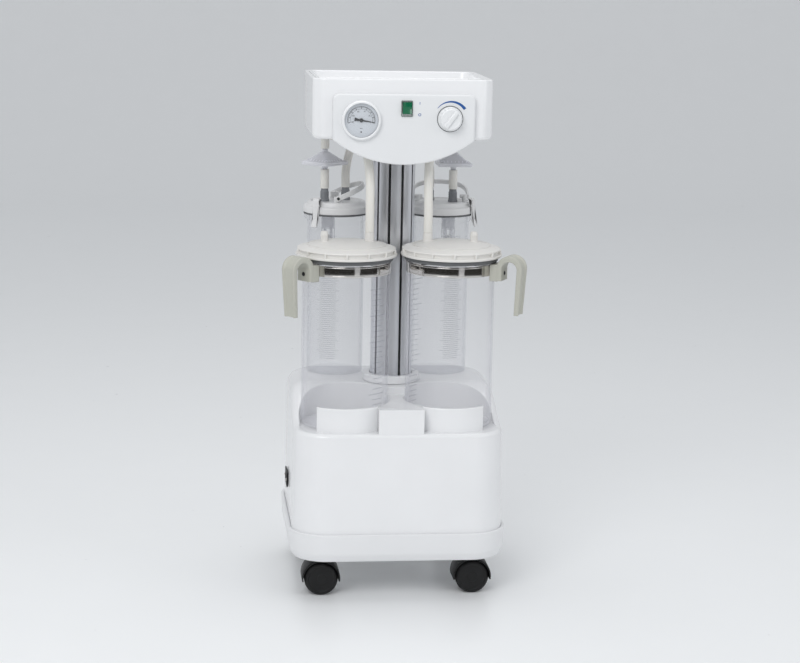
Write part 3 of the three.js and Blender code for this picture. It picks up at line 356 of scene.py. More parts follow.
@dataclass(frozen=True)
class Finish:
    """A moulded or metal surface with fine unevenness.

    Attributes:
        name: Name of the material.
        slot: Name of a material slot; not used.
        color: Base colour.
        roughness: Mean roughness.
        metallic: 1 for metal.
        grain: Size of the texture, in details per metre.
        bump: Depth of the unevenness, in metres.
        tint: How much the colour varies.
        coat: Clear lacquer over the surface.
        transmission: How much light goes through.
        ior: Refractive index.
        alpha: Cover of the surface.
        stretch: Texture scale along X, Y and Z, for brushed surfaces.
        subsurface: Light that spreads below the surface.
    """

    name: str
    slot: str
    color: tuple
    roughness: float = 0.35
    metallic: float = 0.0
    grain: float = 900.0
    bump: float = 0.00003
    tint: float = 0.015
    coat: float = 0.0
    transmission: float = 0.0
    ior: float = 1.46
    alpha: float = 1.0
    stretch: tuple = (1.0, 1.0, 1.0)
    subsurface: float = 0.0

    def material(self) -> bpy.types.Material:
        """Builds the material once and gives it again on later calls.

        Returns:
            The material.
        """
        known = bpy.data.materials.get(self.name)
        if known is not None:
            return known
        made = bpy.data.materials.new(self.name)
        made.use_nodes = True
        nodes, links = made.node_tree.nodes, made.node_tree.links
        shader = nodes["Principled BSDF"]
        values = {
            "Metallic": self.metallic, "Coat Weight": self.coat, "Coat Roughness": 0.08,
            "Transmission Weight": self.transmission, "IOR": self.ior, "Alpha": self.alpha,
            "Subsurface Weight": self.subsurface, "Subsurface Radius": (0.01, 0.009, 0.008),
            "Subsurface Scale": 0.3,
        }
        for name, value in values.items():
            shader.inputs[name].default_value = value
        place = nodes.new("ShaderNodeTexCoord")
        mapping = nodes.new("ShaderNodeMapping")
        mapping.inputs["Scale"].default_value = self.stretch
        links.new(place.outputs["Object"], mapping.inputs["Vector"])
        cloud = noise(nodes, links, mapping, 9.0, 4.0)
        fine = noise(nodes, links, mapping, self.grain, 3.0)
        self.ramp(nodes, links, cloud, shader.inputs["Base Color"])
        low, high = self.roughness * 0.82, min(self.roughness * 1.2, 1.0)
        ranged(nodes, links, fine, shader.inputs["Roughness"], low, high)
        bump = nodes.new("ShaderNodeBump")
        bump.inputs["Strength"].default_value = 0.5
        bump.inputs["Distance"].default_value = self.bump
        links.new(fine.outputs["Fac"], bump.inputs["Height"])
        links.new(bump.outputs["Normal"], shader.inputs["Normal"])
        self.detail(nodes, links, shader, mapping)
        return made

    def ramp(self, nodes: bpy.types.Nodes, links: bpy.types.NodeLinks, cloud: bpy.types.Node, socket) -> None:
        """Spreads the base colour a little either way over the cloud texture."""
        ramp = nodes.new("ShaderNodeValToRGB")
        low, high = ramp.color_ramp.elements
        low.position, high.position = 0.3, 0.7
        low.color = (*(max(c * (1 - self.tint), 0) for c in self.color), 1)
        high.color = (*(min(c * (1 + self.tint), 1) for c in self.color), 1)
        links.new(cloud.outputs["Fac"], ramp.inputs["Fac"])
        links.new(ramp.outputs["Color"], socket)

    def detail(self, nodes: bpy.types.Nodes, links: bpy.types.NodeLinks, shader, mapping) -> None:
        """Adds nothing here; a finish with a pattern of its own adds it."""


@dataclass(frozen=True)
class ClearFinish(Finish):
    """A clear moulding: hardly there where it faces the eye, and paler and denser along its edges.

    Attributes:
        edge: Cover of the surface where it is seen edge on.
    """

    edge: float = 0.8

    def detail(self, nodes: bpy.types.Nodes, links: bpy.types.NodeLinks, shader, mapping) -> None:
        """Raises the cover from its middle value to its edge value as the surface turns away."""
        weight = nodes.new("ShaderNodeLayerWeight")
        weight.inputs["Blend"].default_value = 0.5
        ramp = nodes.new("ShaderNodeValToRGB")
        steps = ((0.0, 0.0), (0.5, 0.03), (0.76, 0.18), (0.92, 0.58), (1.0, 1.0))
        while len(ramp.color_ramp.elements) < len(steps):
            ramp.color_ramp.elements.new(0.5)
        for element, (position, share) in zip(ramp.color_ramp.elements, steps):
            value = self.alpha + (self.edge - self.alpha) * share
            element.position = position
            element.color = (value, value, value, 1)
        links.new(weight.outputs["Facing"], ramp.inputs["Fac"])
        links.new(ramp.outputs["Color"], shader.inputs["Alpha"])


SHELL = Finish("shell_white", "shell", (0.86, 0.865, 0.875), 0.24, coat=0.35, grain=420, bump=0.00002)
PAN = Finish("skirt_white", "shell", (0.82, 0.825, 0.835), 0.3, coat=0.25, grain=420, bump=0.00002)
PANEL = Finish("panel_white", "panel", (0.8, 0.81, 0.82), 0.34, grain=1600, bump=0.00002)
BLACK = Finish("black_nylon", "black", (0.005, 0.005, 0.0055), 0.5, grain=1500, bump=0.00005)
TREAD = Finish("wheel_black", "wheel", (0.004, 0.004, 0.0045), 0.56, grain=1300, bump=0.00006)
BEZEL = Finish("bezel_white", "bezel", (0.84, 0.85, 0.86), 0.22, coat=0.4)
DIAL = Finish("dial_face", "dial", (0.62, 0.65, 0.69), 0.5, grain=2200)
INK = Finish("dial_ink", "needle", (0.01, 0.01, 0.012), 0.45)
LENS = ClearFinish("gauge_glass", "lens", (0.9, 0.92, 0.94), 0.03, ior=1.45, bump=0.0, alpha=0.04, edge=0.6)
ROCKER = Finish("rocker_green", "rocker", (0.001, 0.13, 0.055), 0.22, coat=0.4)
FRAME = Finish("switch_frame", "black", (0.2, 0.24, 0.22), 0.35)
KNOB = Finish("knob_white", "knob", (0.82, 0.83, 0.84), 0.28, coat=0.25)
BLUE = Finish("mark_blue", "needle", (0.02, 0.1, 0.33), 0.4)
CLEAR = ClearFinish("jar_clear", "clear", (0.72, 0.72, 0.78), 0.05, ior=1.49, bump=0.0, alpha=0.03, edge=0.9)
REAR_CLEAR = ClearFinish(
    "rear_jar_clear", "clear", (0.7, 0.71, 0.76), 0.06, ior=1.49, bump=0.0, alpha=0.06, edge=0.95
)
PRINT = Finish("scale_print", "clear", (0.36, 0.37, 0.41), 0.5)
STEEL = Finish("band_steel", "steel", (0.62, 0.6, 0.58), 0.1, 1.0, 160, 0.00001, 0.06, stretch=(1, 1, 14))
GASKET = Finish("gasket_grey", "rubber", (0.13, 0.135, 0.14), 0.6, grain=900, bump=0.00006)
LID = Finish("lid_ivory", "lid", (0.77, 0.755, 0.725), 0.38, subsurface=0.05, grain=900)
HANDLE = Finish("handle_sage", "handle", (0.5, 0.5, 0.44), 0.42, grain=1400, bump=0.00005)
REAR_LID = Finish("rear_lid_grey", "rear_lid", (0.74, 0.74, 0.74), 0.35, grain=900)
SLEEVE = Finish("sleeve_grey", "rear_lid", (0.22, 0.23, 0.245), 0.5)
CAGE = ClearFinish("cage_smoke", "cage", (0.6, 0.61, 0.65), 0.1, bump=0.0, alpha=0.3, edge=0.9)
FLOAT = Finish("float_white", "float", (0.78, 0.78, 0.77), 0.4)
FILTER = ClearFinish("filter_clear", "filter", (0.84, 0.845, 0.89), 0.25, alpha=0.6, edge=1.0)
FILTER_RIB = ClearFinish("filter_rib", "filter", (0.8, 0.8, 0.86), 0.3, alpha=0.85, edge=1.0)
HOSE = Finish("hose_silicone", "hose", (0.80, 0.785, 0.74), 0.3, subsurface=0.15, bump=0.00002)
CAST = Finish("cast_alloy", "cast", (0.38, 0.39, 0.4), 0.5, 0.8, 600, 0.0002, 0.08)


@dataclass(frozen=True)
class BrushedColumn(Finish):
    """Anodised aluminium with fine lines that run up the column."""

    def detail(self, nodes: bpy.types.Nodes, links: bpy.types.NodeLinks, shader, mapping) -> None:
        """Adds long, thin draw lines to the shine along the column's height."""
        lines = noise(nodes, links, mapping, 700.0, 2.0)
        ranged(nodes, links, lines, shader.inputs["Roughness"], self.roughness * 0.75, self.roughness * 1.5)


COLUMN = BrushedColumn(
    "column_aluminium", "aluminium", (0.76, 0.77, 0.8), 0.3, 1.0, 500, 0.00002, 0.05, stretch=(1, 1, 0.02)
)
# Near-black painted shade, laid on the slot floors where the deep slots fall into shadow.
SLOT = Finish("slot_shadow", "aluminium", (0.015, 0.015, 0.017), 0.6)


# ---- Making pieces ----
def piece(
    name: str, surface: Surface, finish: Finish, body: str = "root", replaces: tuple = (), sharp: float = 35.0
) -> bpy.types.Object:
    """Puts a surface into the scene as a finished piece that rides on a body.

    Args:
        name: Name of the piece.
        surface: Its points, in millimetres, and faces.
        finish: Its finish.
        body: The body that it moves with.
        replaces: Nodes of the frame that it stands for.
        sharp: Edges that turn more than this many degrees stay crisp.

    Returns:
        The new object.
    """
    mesh = bpy.data.meshes.new(name)
    mesh.from_pydata((surface.points * MM).tolist(), [], surface.faces)
    tidy_mesh(mesh, sharp)
    made = linked(name, mesh)
    mesh.materials.append(finish.material())
    if body:
        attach(made, body)
    if replaces:
        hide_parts(*replaces)
    log.info("%s: %d faces, %s, on %s", name, len(mesh.polygons), finish.name, body or "two bodies")
    return made


def tidy_mesh(mesh: bpy.types.Mesh, sharp: float) -> None:
    """Merges doubles, drops flat faces, turns the faces outwards and shades the mesh smooth.

    Args:
        mesh: The mesh.
        sharp: Edges that turn more than this many degrees stay crisp.
    """
    work = bmesh.new()
    work.from_mesh(mesh)
    bmesh.ops.remove_doubles(work, verts=work.verts, dist=1e-6)
    bmesh.ops.dissolve_degenerate(work, edges=work.edges, dist=1e-7)
    bmesh.ops.recalc_face_normals(work, faces=work.faces)
    work.to_mesh(mesh)
    work.free()
    mesh.shade_smooth()
    mesh.set_sharp_from_angle(angle=radians(sharp))


def centre_of(node: str) -> np.ndarray:
    """Gives the middle of a node's box, in millimetres."""
    low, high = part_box(node)
    return (np.array(low) + np.array(high)) / 2 / MM


def low_of(node: str) -> np.ndarray:
    """Gives the lowest corner of a node's box, in millimetres."""
    return np.array(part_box(node)[0]) / MM


def high_of(node: str) -> np.ndarray:
    """Gives the highest corner of a node's box, in millimetres."""
    return np.array(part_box(node)[1]) / MM


def smooth(distance: np.ndarray, width: float) -> np.ndarray:
    """Rises from 0 to 1 as the distance passes from -width/2 to width/2, level at both ends."""
    share = np.clip(distance / width + 0.5, 0, 1)
    return share * share * (3 - 2 * share)


def rounded_loop(corners: list, radii: list, steps: int = 6) -> np.ndarray:
    """Rounds every corner of a closed outline, each by its own radius, with a quadratic curve."""
    corner = np.array(corners, float)
    share = np.linspace(0, 1, steps + 1)[:, None]
    points = []
    for i, radius in enumerate(radii):
        here, before, after = corner[i], corner[i - 1], corner[(i + 1) % len(corner)]
        start = here + (before - here) / np.linalg.norm(before - here) * radius
        end = here + (after - here) / np.linalg.norm(after - here) * radius
        points.append((1 - share) ** 2 * start + 2 * share * (1 - share) * here + share**2 * end)
    return np.vstack(points)


def dress(node: str, finish: Finish) -> None:
    """Gives a node of the frame a finish and leaves its shape as it is."""
    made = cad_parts[node]
    made.data.materials.clear()
    made.data.materials.append(finish.material())
    log.info("%s: dressed in %s", node, finish.name)


def screw(x: float, y: float, z: float, radius: float = 3.2) -> Surface:
    """Gives a small domed screw head with a cross recess, made along Z at the origin and moved."""
    head = lathe([(0, -0.5), (radius, -0.5), (radius, 0.9), (radius * 0.6, 1.5), (0, 1.5)], 0.6, 24)
    long = radius * 1.1
    bars = [block((wide, deep, 0.5), (0, 0, 1.5), 0.2) for wide, deep in ((long, 0.7), (0.7, long))]
    return head.plus(*bars).moved(x, y, z)


# ---- Cabinet ----
@dataclass
class Cabinet:
    """The base: a pan with a rolled rim, and a one-piece moulded cover with wells for the jars."""

    half_x: float = 182.0
    half_y: float = 167.0
    corner: float = 60.0
    draft: float = 0.985
    bottom: float = 118.8
    deck: float = 291.0
    platform: float = 346.0
    retainer: float = 333.0
    well: float = 77.5
    jar_x: float = 90.0
    jar_y: float = -71.0
    slope: tuple = (-118.0, 20.0)
    nose_y: float = -40.0
    block_front: float = -161.5
    block_half: float = 38.5
    lobe_wall: float = 7.0
    lobe_end: float = 142.0

    def top_height(self, x: np.ndarray, y: np.ndarray, edge: np.ndarray) -> np.ndarray:
        """Works out the height of the cover's top outside the wells.

        The sides rise from the deck to the platform as half a cosine wave along Y, and blend into
        the flat platform towards the middle. The outer edge drops by r - sqrt(r^2 - (r - e)^2),
        where e is the distance from the edge and r grows with the height.

        Args:
            x: Places across the cabinet.
            y: Places from front to rear.
            edge: Distance from the outer edge.

        Returns:
            The heights.
        """
        share = np.clip((y - self.slope[0]) / (self.slope[1] - self.slope[0]), 0, 1)
        side = self.deck + (self.platform - self.deck) * (1 - np.cos(pi * share)) / 2
        middle = smooth(85 - np.abs(x), 60) * (y > self.jar_y)
        height = side + (self.platform - side) * middle
        radius = 7 + 17 * (height - self.deck) / (self.platform - self.deck)
        return height - radius + np.sqrt(radius**2 - (radius - np.minimum(edge, radius)) ** 2)

    def well_edge(self) -> tuple:
        """Gives the wall line that bounds the wells, and the outline point each of its points meets.

        In front of the jars' axes the line is the outline drawn in; behind them it follows the two
        wells and crosses the nose between them. Both run anticlockwise from the front's middle.

        Returns:
            The wall line and the matching outline points, both of shape (n, 2).
        """
        inset = self.half_x * self.draft - (self.jar_x + self.well)
        half_x, half_y, corner = (v * self.draft for v in (self.half_x, self.half_y, self.corner))
        run = half_x - corner
        turn = np.linspace(-pi / 2, 0, 40)
        along = np.linspace(half_y - corner, -self.jar_y, 16)[1:]
        front_out = np.vstack([
            np.column_stack([np.linspace(0, run, 50), np.full(50, -half_y)]),
            np.column_stack([run + corner * np.cos(turn), -(half_y - corner) + corner * np.sin(turn)])[1:],
            np.column_stack([np.full(15, half_x), -along]),
        ])
        small = corner - inset
        front_in = np.vstack([
            np.column_stack([np.linspace(0, run, 50), np.full(50, -half_y + inset)]),
            np.column_stack([run + small * np.cos(turn), -(half_y - corner) + small * np.sin(turn)])[1:],
            np.column_stack([np.full(15, half_x - inset), -along]),
        ])
        nose_end = pi - asin((self.nose_y - self.jar_y) / self.well)
        arc = np.linspace(0, nose_end, 120)[1:]
        circle = np.column_stack([self.jar_x + self.well * np.cos(arc), self.jar_y + self.well * np.sin(arc)])
        across = np.linspace(circle[-1, 0], 0, 10)[1:]
        rear_in = np.vstack([circle, np.column_stack([across, np.full(9, self.nose_y)])])
        turn = np.linspace(0, pi / 2, 40)
        rear_path = np.vstack([
            [(half_x, self.jar_y)],
            np.column_stack([run + corner * np.cos(turn), half_y - corner + corner * np.sin(turn)]),
            [(0, half_y)],
        ])
        rear_out = spread(rear_path, walked(rear_in, front_in[-1]))
        inner, outer = np.vstack([front_in, rear_in]), np.vstack([front_out, rear_out])
        mirror = np.array([-1, 1])
        return (
            np.vstack([inner, inner[-2:0:-1] * mirror]),
            np.vstack([outer, outer[-2:0:-1] * mirror]),
        )

    def cover(self) -> Surface:
        """Builds the cover: the drafted side, the top in to the wells, their walls and the deck.

        Returns:
            The closed shell, with the retaining walls in front of the jars.
        """
        inner, outer = self.well_edge()
        count = len(inner)
        lead = np.array([0, 0.01, 0.03, 0.07, 0.12, 0.19, 0.28, 0.38, 0.5, 0.63, 0.78, 1.0])
        reach = np.linalg.norm(inner - outer, axis=1)
        normal = outward(inner)
        edge_in = inner + normal * 2.0
        rounding = 26 / np.maximum(reach, 26.5)
        first = lead[:, None] * np.minimum(rounding, 0.96)
        rest = first[-1] + (1 - first[-1]) * np.linspace(0, 1, 14)[1:, None]
        share = np.vstack([first, rest])[..., None]
        flat = outer + (edge_in - outer) * share
        sizes = self.half_x * self.draft, self.half_y * self.draft, self.corner * self.draft
        height = self.top_height(flat[..., 0], flat[..., 1], distance_inside(flat, *sizes))
        top = np.concatenate([flat, height[..., None]], axis=-1)
        lip = top[-1, :, 2]
        soft = np.clip((lip - self.deck) / 2, 0.0, 2.0)
        wall = []
        for t in np.linspace(0, pi / 2, 6)[1:]:
            place = inner + normal * (2.0 - soft[:, None] * sin(t))
            wall.append(np.column_stack([place, lip - soft * (1 - cos(t))]))
        for t in np.linspace(0, pi / 2, 5):
            place = inner + normal * (2.0 - soft[:, None] * (2 - cos(t)))
            wall.append(np.column_stack([place, self.deck + soft * (1 - sin(t))]))
        rim = top[0, :, 2]
        side = []
        for step in np.linspace(0, 1, 8)[:0:-1]:
            widen = 1 + (1 / self.draft - 1) * step
            side.append(np.column_stack([outer * widen, rim + (self.bottom - 3 - rim) * step]))
        base = outer / self.draft * ((self.half_x - 5) / self.half_x)
        under = [np.column_stack([base, np.full(count, z)]) for z in (self.deck - 12, self.bottom - 3)]
        shell = lofted(np.concatenate([np.array(under), np.array(side), top, np.array(wall)]))
        return shell.plus(self.lobe(), mirrored(self.lobe()), self.block())

    def lobe(self) -> Surface:
        """Gives the right-hand retaining wall: a section swept round the front of the well.

        Each point of the section (r, z) runs from one upright end plane to the other:
        x = jar_x + r cos a, y = jar_y + r sin a.
        """
        low, inner, outer = self.deck - 8, self.well, self.well + self.lobe_wall
        corners = [(inner, low), (outer, low), (outer, self.retainer), (inner, self.retainer)]
        radius, height = rounded_loop(corners, [0.2, 0.2, 1.8, 1.8], 4).T
        start = -np.arccos((self.block_half - 1 - self.jar_x) / radius)
        end = -np.arccos((self.lobe_end - self.jar_x) / radius)
        angle = start + np.linspace(0, 1, 70)[:, None] * (end - start)
        x, y = self.jar_x + radius * np.cos(angle), self.jar_y + radius * np.sin(angle)
        return lofted(np.stack([x, y, np.broadcast_to(height, x.shape)], axis=-1))

    def block(self) -> Surface:
        """Gives the middle block, whose sides follow the two wells."""
        half, radius = self.block_half, self.well
        start = -acos((half - self.jar_x) / radius)
        nose = pi - asin((self.nose_y - self.jar_y) / radius)
        angle = np.linspace(start, -(2 * pi - nose), 60)
        right = np.column_stack([self.jar_x + radius * np.cos(angle), self.jar_y + radius * np.sin(angle)])
        front = np.array([(-half, self.block_front), (half, self.block_front)])
        rear = np.array([(right[-1, 0], self.nose_y + 4), (-right[-1, 0], self.nose_y + 4)])
        outline = np.vstack([front, right, rear, right[::-1] * np.array([-1, 1])])
        return prism(outline, self.deck - 8, self.retainer, 1.4, 4)

    def pan(self) -> Surface:
        """Builds the pan: a drafted skirt with a rolled rim that turns in under the cover."""
        half_x, half_y, corner, low, high = 188.0, 173.0, 66.0, 69.0, 118.5
        profile = rounded_line([
            (40, low), (8, low), (2.2, low + 14), (0, high), (5.4, high), (6.6, high - 6), (10, high - 6),
            (10, low + 4), (60, low + 4),
        ], 3.2, 5)
        rings = []
        for inset, z in profile:
            outline = rounded_rectangle(half_x - inset, half_y - inset, max(corner - inset, 6), 16)
            rings.append(np.column_stack([outline, np.full(len(outline), z)]))
        return lofted(np.array(rings))

    def build(self) -> None:
        """Makes the pan, the cover, the inlet and the pump inside."""
        piece("cabinet_cover", self.cover(), SHELL, replaces=("base_cover",), sharp=60)
        piece("cabinet_pan", self.pan(), PAN, replaces=("base_pan",), sharp=50)
        dress("power_inlet", BLACK)
        for node in ("pump_motor", "pump_crankcase", "regulator_valve"):
            dress(node, CAST)
        dress("pump_cylinder_head", COLUMN)
        dress("cooling_fan", BLACK)
        x, y, z = centre_of("power_inlet")
        left = low_of("power_inlet")[0]
        screws = [
            screw(0, 0, 0, 2.4).turned(-90, "Y").moved(left - 0.1, y + offset, z) for offset in (-20, 20)
        ]
        piece("inlet_screws", joined(screws), STEEL)


def walked(line: np.ndarray, start: np.ndarray) -> np.ndarray:
    """Gives how far along an open line, that begins at start, each of its points lies, from 0 to 1."""
    steps = np.linalg.norm(np.diff(np.vstack([start, line]), axis=0), axis=1)
    run = np.cumsum(steps)
    return run / run[-1]


def spread(path: np.ndarray, shares: np.ndarray) -> np.ndarray:
    """Gives the points of a path at given shares of its length."""
    run = np.concatenate([[0], np.cumsum(np.linalg.norm(np.diff(path, axis=0), axis=1))])
    return np.column_stack([np.interp(shares * run[-1], run, path[:, k]) for k in (0, 1)])


def outward(line: np.ndarray) -> np.ndarray:
    """Gives the outward direction at each point of a closed, anticlockwise line."""
    along = np.roll(line, -1, axis=0) - np.roll(line, 1, axis=0)
    normal = np.stack([along[:, 1], -along[:, 0]], axis=1)
    return normal / np.maximum(np.linalg.norm(normal, axis=1, keepdims=True), 1e-9)


def mirrored(surface: Surface) -> Surface:
    """Gives a copy reflected in X, with its faces turned back to face outwards."""
    return Surface(surface.points * np.array([-1, 1, 1]), [face[::-1] for face in surface.faces])


def distance_inside(points: np.ndarray, half_x: float, half_y: float, corner: float) -> np.ndarray:
    """Measures how far points lie inside a rounded rectangle, and gives 0 outside it."""
    qx = np.abs(points[..., 0]) - (half_x - corner)
    qy = np.abs(points[..., 1]) - (half_y - corner)
    outside = np.hypot(np.maximum(qx, 0), np.maximum(qy, 0)) + np.minimum(np.maximum(qx, qy), 0)
    return np.maximum(corner - outside, 0)


# ---- Casters ----
@dataclass
class Caster:
    """A twin-wheel caster with a hood; it trails outwards."""

    corner: Corner
    place: tuple = (119.0, 112.0)
    trail: float = 12.0
    wheel: float = 29.0
    width: float = 17.0
    gap: float = 10.0

    def wheels(self) -> Surface:
        """Gives two wheels with crowned treads and dished faces on one axle."""
        r, w = self.wheel, self.width
        profile = rounded_line([
            (0, 0), (r - 3, 0), (r, 3), (r, w - 4), (r - 4, w), (r - 7, w), (r - 8, w - 0.8), (9, w - 0.8),
            (8, w), (0, w),
        ], 2.0)
        wheel = revolved(profile, 64)
        front = wheel.facing_front(0, -self.gap / 2, 0)
        rear = wheel.turned(-90, "X").moved(0, self.gap / 2, 0)
        axle = revolved(np.array([(0, -10), (4, -10), (4, 10), (0, 10)]), 24).facing_front(0, 0, 0)
        return front.plus(rear, axle)

    def hood(self) -> Surface:
        """Gives the hood: a curved shroud over the wheels, a web between them and a swivel boss.

        The shroud's section is an arc whose ends come down past the axle to a point.
        """
        half = self.gap / 2 + self.width + 0.3
        angle = np.radians(np.linspace(-8, 188, 44))
        thick = 3.4 * np.clip(np.cos((angle - pi / 2) * 0.5), 0.5, 1)
        inner = np.full_like(angle, self.wheel + 1.5)
        section = np.vstack([polar(inner + thick, angle), polar(inner, angle)[::-1]])
        shroud = prism(section, -half, half, 0.5, 2).facing_front(0, 0, 0)
        web_angle = np.radians(np.linspace(-2, 182, 36))
        web_half = self.gap / 2 - 0.6
        web = prism(polar(self.wheel + 2, web_angle), -web_half, web_half, 0.4, 2).facing_front(0, 0, 0)
        boss = lathe([(0, 54), (15.5, 54), (15.5, 66.5), (13, 68.6), (0, 68.6)], 1.5, 40)
        stem = revolved(np.array([(0, 66), (5.4, 66), (5.4, 86), (0, 86)]), 24)
        raised = shroud.plus(web).moved(-self.trail, 0, self.wheel)
        return raised.plus(boss, stem)

    def build(self) -> None:
        """Makes the hood and the wheels of this caster."""
        sx, sy = self.corner.value
        turn = 0 if sx < 0 else 180
        x, y = sx * self.place[0], sy * self.place[1]
        word = self.corner.word
        hood = self.hood().turned(turn).moved(x, y, 0)
        wheels = self.wheels().moved(-self.trail, 0, self.wheel).turned(turn).moved(x, y, 0)
        piece(f"hood_{word}", hood, BLACK, f"swivel_{word}", (f"caster_hood_{word}",))
        piece(f"wheels_{word}", wheels, TREAD, f"wheels_{word}", (f"caster_wheels_{word}",))


# ---- Column ----
@dataclass
class Column:
    """A round aluminium extrusion with dark slots, standing in a collar."""

    radius: float = 36.6
    y: float = 28.0
    slots: int = 10
    slot_half: float = 2.1
    slot_depth: float = 5.6
    low: float = 346.3
    high: float = 781.7

    def outline(self) -> np.ndarray:
        """Gives the outline: arcs between slots, with a small lip at the mouth of each slot."""
        pitch = 2 * pi / self.slots
        half = self.slot_half / self.radius
        deep, lip = self.radius - self.slot_depth, self.radius - 0.7
        points = []
        for i in range(self.slots):
            middle = (i + 0.5) * pitch - pi / 2
            for angle, radius in ((-half, deep), (half, deep), (half, lip)):
                points.append((radius * cos(middle + angle), radius * sin(middle + angle)))
            for angle in np.linspace(middle + half * 1.25, middle + pitch - half * 1.25, 12):
                points.append((self.radius * cos(angle), self.radius * sin(angle)))
            end = middle + pitch - half
            points.append((lip * cos(end), lip * sin(end)))
        return np.array(points)

    def build(self) -> None:
        """Makes the extrusion, strips of painted shade on the floors of its slots, and the collar."""
        body = prism(self.outline(), self.low, self.high).moved(0, self.y, 0)
        piece("column_extrusion", body, COLUMN, replaces=("column",), sharp=30)
        # Strips of painted shade on the floors of the slots.
        strips = []
        out, middle = self.radius - self.slot_depth + 0.9, (self.low + self.high) / 2
        for i in range(self.slots):
            angle = degrees_of((i + 0.5) * 2 * pi / self.slots - pi / 2)
            strip = block((1.0, 2 * self.slot_half - 0.3, self.high - self.low - 6), (0, 0, 0), 0.2)
            strips.append(strip.moved(out, 0, middle).turned(angle).moved(0, self.y, 0))
        piece("slot_shade_strips", joined(strips), SLOT)
        top = self.low + 14
        collar = lathe_ring([(37.6, self.low), (50, self.low), (50, top), (37.6, top)], 2.6, 96)
        piece("collar", collar.moved(0, self.y, 0), SHELL, replaces=("column_collar",))


def degrees_of(angle: float) -> float:
    """Turns radians into degrees."""
    return angle * 180 / pi


# ---- Control head ----
@dataclass
class ControlHead:
    """The box on top of the column: tray, panel, vacuum gauge, rocker switch and regulator."""

    bottom: float = 782.0
    top: float = 874.0
    front: float = -103.5
    rear: float = 132.0
    half_x: float = 152.0
    face_x: float = 137.0
    chamfer_y: float = 14.0
    panel_half: float = 119.5
    panel_top: float = 859.0
    panel_side: float = 783.0
    panel_low: float = 741.5
    panel_thick: float = 10.0
    gauge: tuple = (-72.0, 815.5)
    switch: tuple = (4.0, 835.5)
    knob: tuple = (76.5, 819.0)
    rim_rise: float = 9.3
    floor_drop: float = 3.8
    panel_edge: float = 3.2
    needle_rest: float = -9.0
    knob_rest: float = -37.0

    @property
    def face(self) -> float:
        """Gives Y of the panel's face."""
        return self.front - 0.3 - self.panel_thick

    def outline(self, inset: float) -> np.ndarray:
        """Gives the head's outline, with chamfered front corners, drawn in by inset."""
        x, f, y0, y1 = self.half_x - inset, self.face_x - inset * 0.6, self.front + inset, self.rear - inset
        side = self.front + self.chamfer_y + inset * 0.4
        corners = [(-f, y0), (f, y0), (x, side), (x, y1), (-x, y1), (-x, side)]
        return rounded_loop(corners, [6, 6, 6, 24 - inset * 0.5, 24 - inset * 0.5, 6], 8)

    def shell(self) -> Surface:
        """Builds the box: its lower edge is a large quarter round, its top the outer half of the rim."""
        rings = []
        for t in np.linspace(0, pi / 2, 7):
            rings.append((9 * (1 - sin(t)), self.bottom + 9 * (1 - cos(t))))
        rim = self.top + self.rim_rise
        rings += rounded_line([
            (0, self.top - 8), (0, rim), (6.7, rim), (6.7, self.top - 8.5),
        ], 4.2, 6).tolist()[1:]
        return lofted(np.array([with_height(self.outline(inset), z) for inset, z in rings]))

    def tray(self) -> Surface:
        """Builds the tray: the inner half of the rim round a sunk floor."""
        rim = self.top + self.rim_rise
        floor = self.top - self.floor_drop
        inside = rounded_line([(6.8, rim), (13.0, rim), (15.0, floor), (70, floor)], 3.0, 5)
        profile = np.vstack([[(70, self.top - 7), (6.8, self.top - 7)], inside])
        return lofted(np.array([with_height(self.outline(inset), z) for inset, z in profile]))

    def panel_outline(self, inset: float) -> np.ndarray:
        """Gives the panel's outline in X and Z: two rounded upper corners and an arc below."""
        drop = self.panel_side - self.panel_low
        radius = (self.panel_half**2 + drop**2) / (2 * drop)
        half = self.panel_half - inset
        reach = asin(half / radius)
        angle = np.linspace(-pi / 2 - reach, -pi / 2 + reach, 64)
        small = radius - inset
        arc = np.column_stack([small * np.cos(angle), self.panel_low + radius + small * np.sin(angle)])
        corner = 11.0 - inset
        turns = np.linspace(0, pi / 2, 9)
        top = self.panel_top - inset - corner
        right = np.column_stack([half - corner + corner * np.cos(turns), top + corner * np.sin(turns)])
        left = np.column_stack([-half + corner - corner * np.sin(turns), top + corner * np.cos(turns)])
        return np.vstack([arc, right, left])

    def panel(self) -> Surface:
        """Builds the panel with a rounded front edge."""
        edge, flat = self.panel_edge, self.panel_thick - self.panel_edge
        levels = [(0.0, 0.0), (0.0, flat)]
        levels += [(edge * (1 - cos(t)), flat + edge * sin(t)) for t in np.linspace(0.2, pi / 2, 6)]
        rings = np.array([with_height(self.panel_outline(inset), z) for inset, z in levels])
        return lofted(rings).facing_front(0, self.front - 0.3, 0)

    def on_face(self, surface: Surface, place: tuple, lift: float = 0.0) -> Surface:
        """Turns a surface made along Z to face the front and puts it on the panel at (x, z)."""
        return surface.facing_front(place[0], self.face - lift, place[1])

    def gauge_pieces(self) -> None:
        """Makes the gauge: rounded bezel, dial with a printed scale, needle and glass."""
        bezel = rounded_line([
            (31, 0), (33, 0), (33, 6.5), (30.6, 9), (28.6, 8.6), (28.2, 6.6), (28.2, 0), (31, 0),
        ], 1.5, 5)
        cup = revolved(np.array([(0, -27), (30.8, -27), (30.8, -10.6), (0, -10.6)]), 64)
        case = revolved(bezel[:-1], 120, True).plus(cup)
        piece("gauge_bezel", self.on_face(case, self.gauge), BEZEL, replaces=("gauge_case",))
        face = lathe([(0, 0.2), (28.0, 0.2), (28.0, 1.0), (0, 1.0)], 0.2, 96)
        piece("gauge_face", self.on_face(face, self.gauge), DIAL, replaces=("gauge_dial",))
        self.dial_print()
        piece("needle", self.on_face(self.needle(), self.gauge), INK, "needle", ("gauge_needle",))
        glass = lathe([(0, 5.4), (28.1, 4.6), (28.1, 6.0), (0, 6.9)], 0.3, 96)
        piece("gauge_window", self.on_face(glass, self.gauge), LENS, replaces=("gauge_lens",))

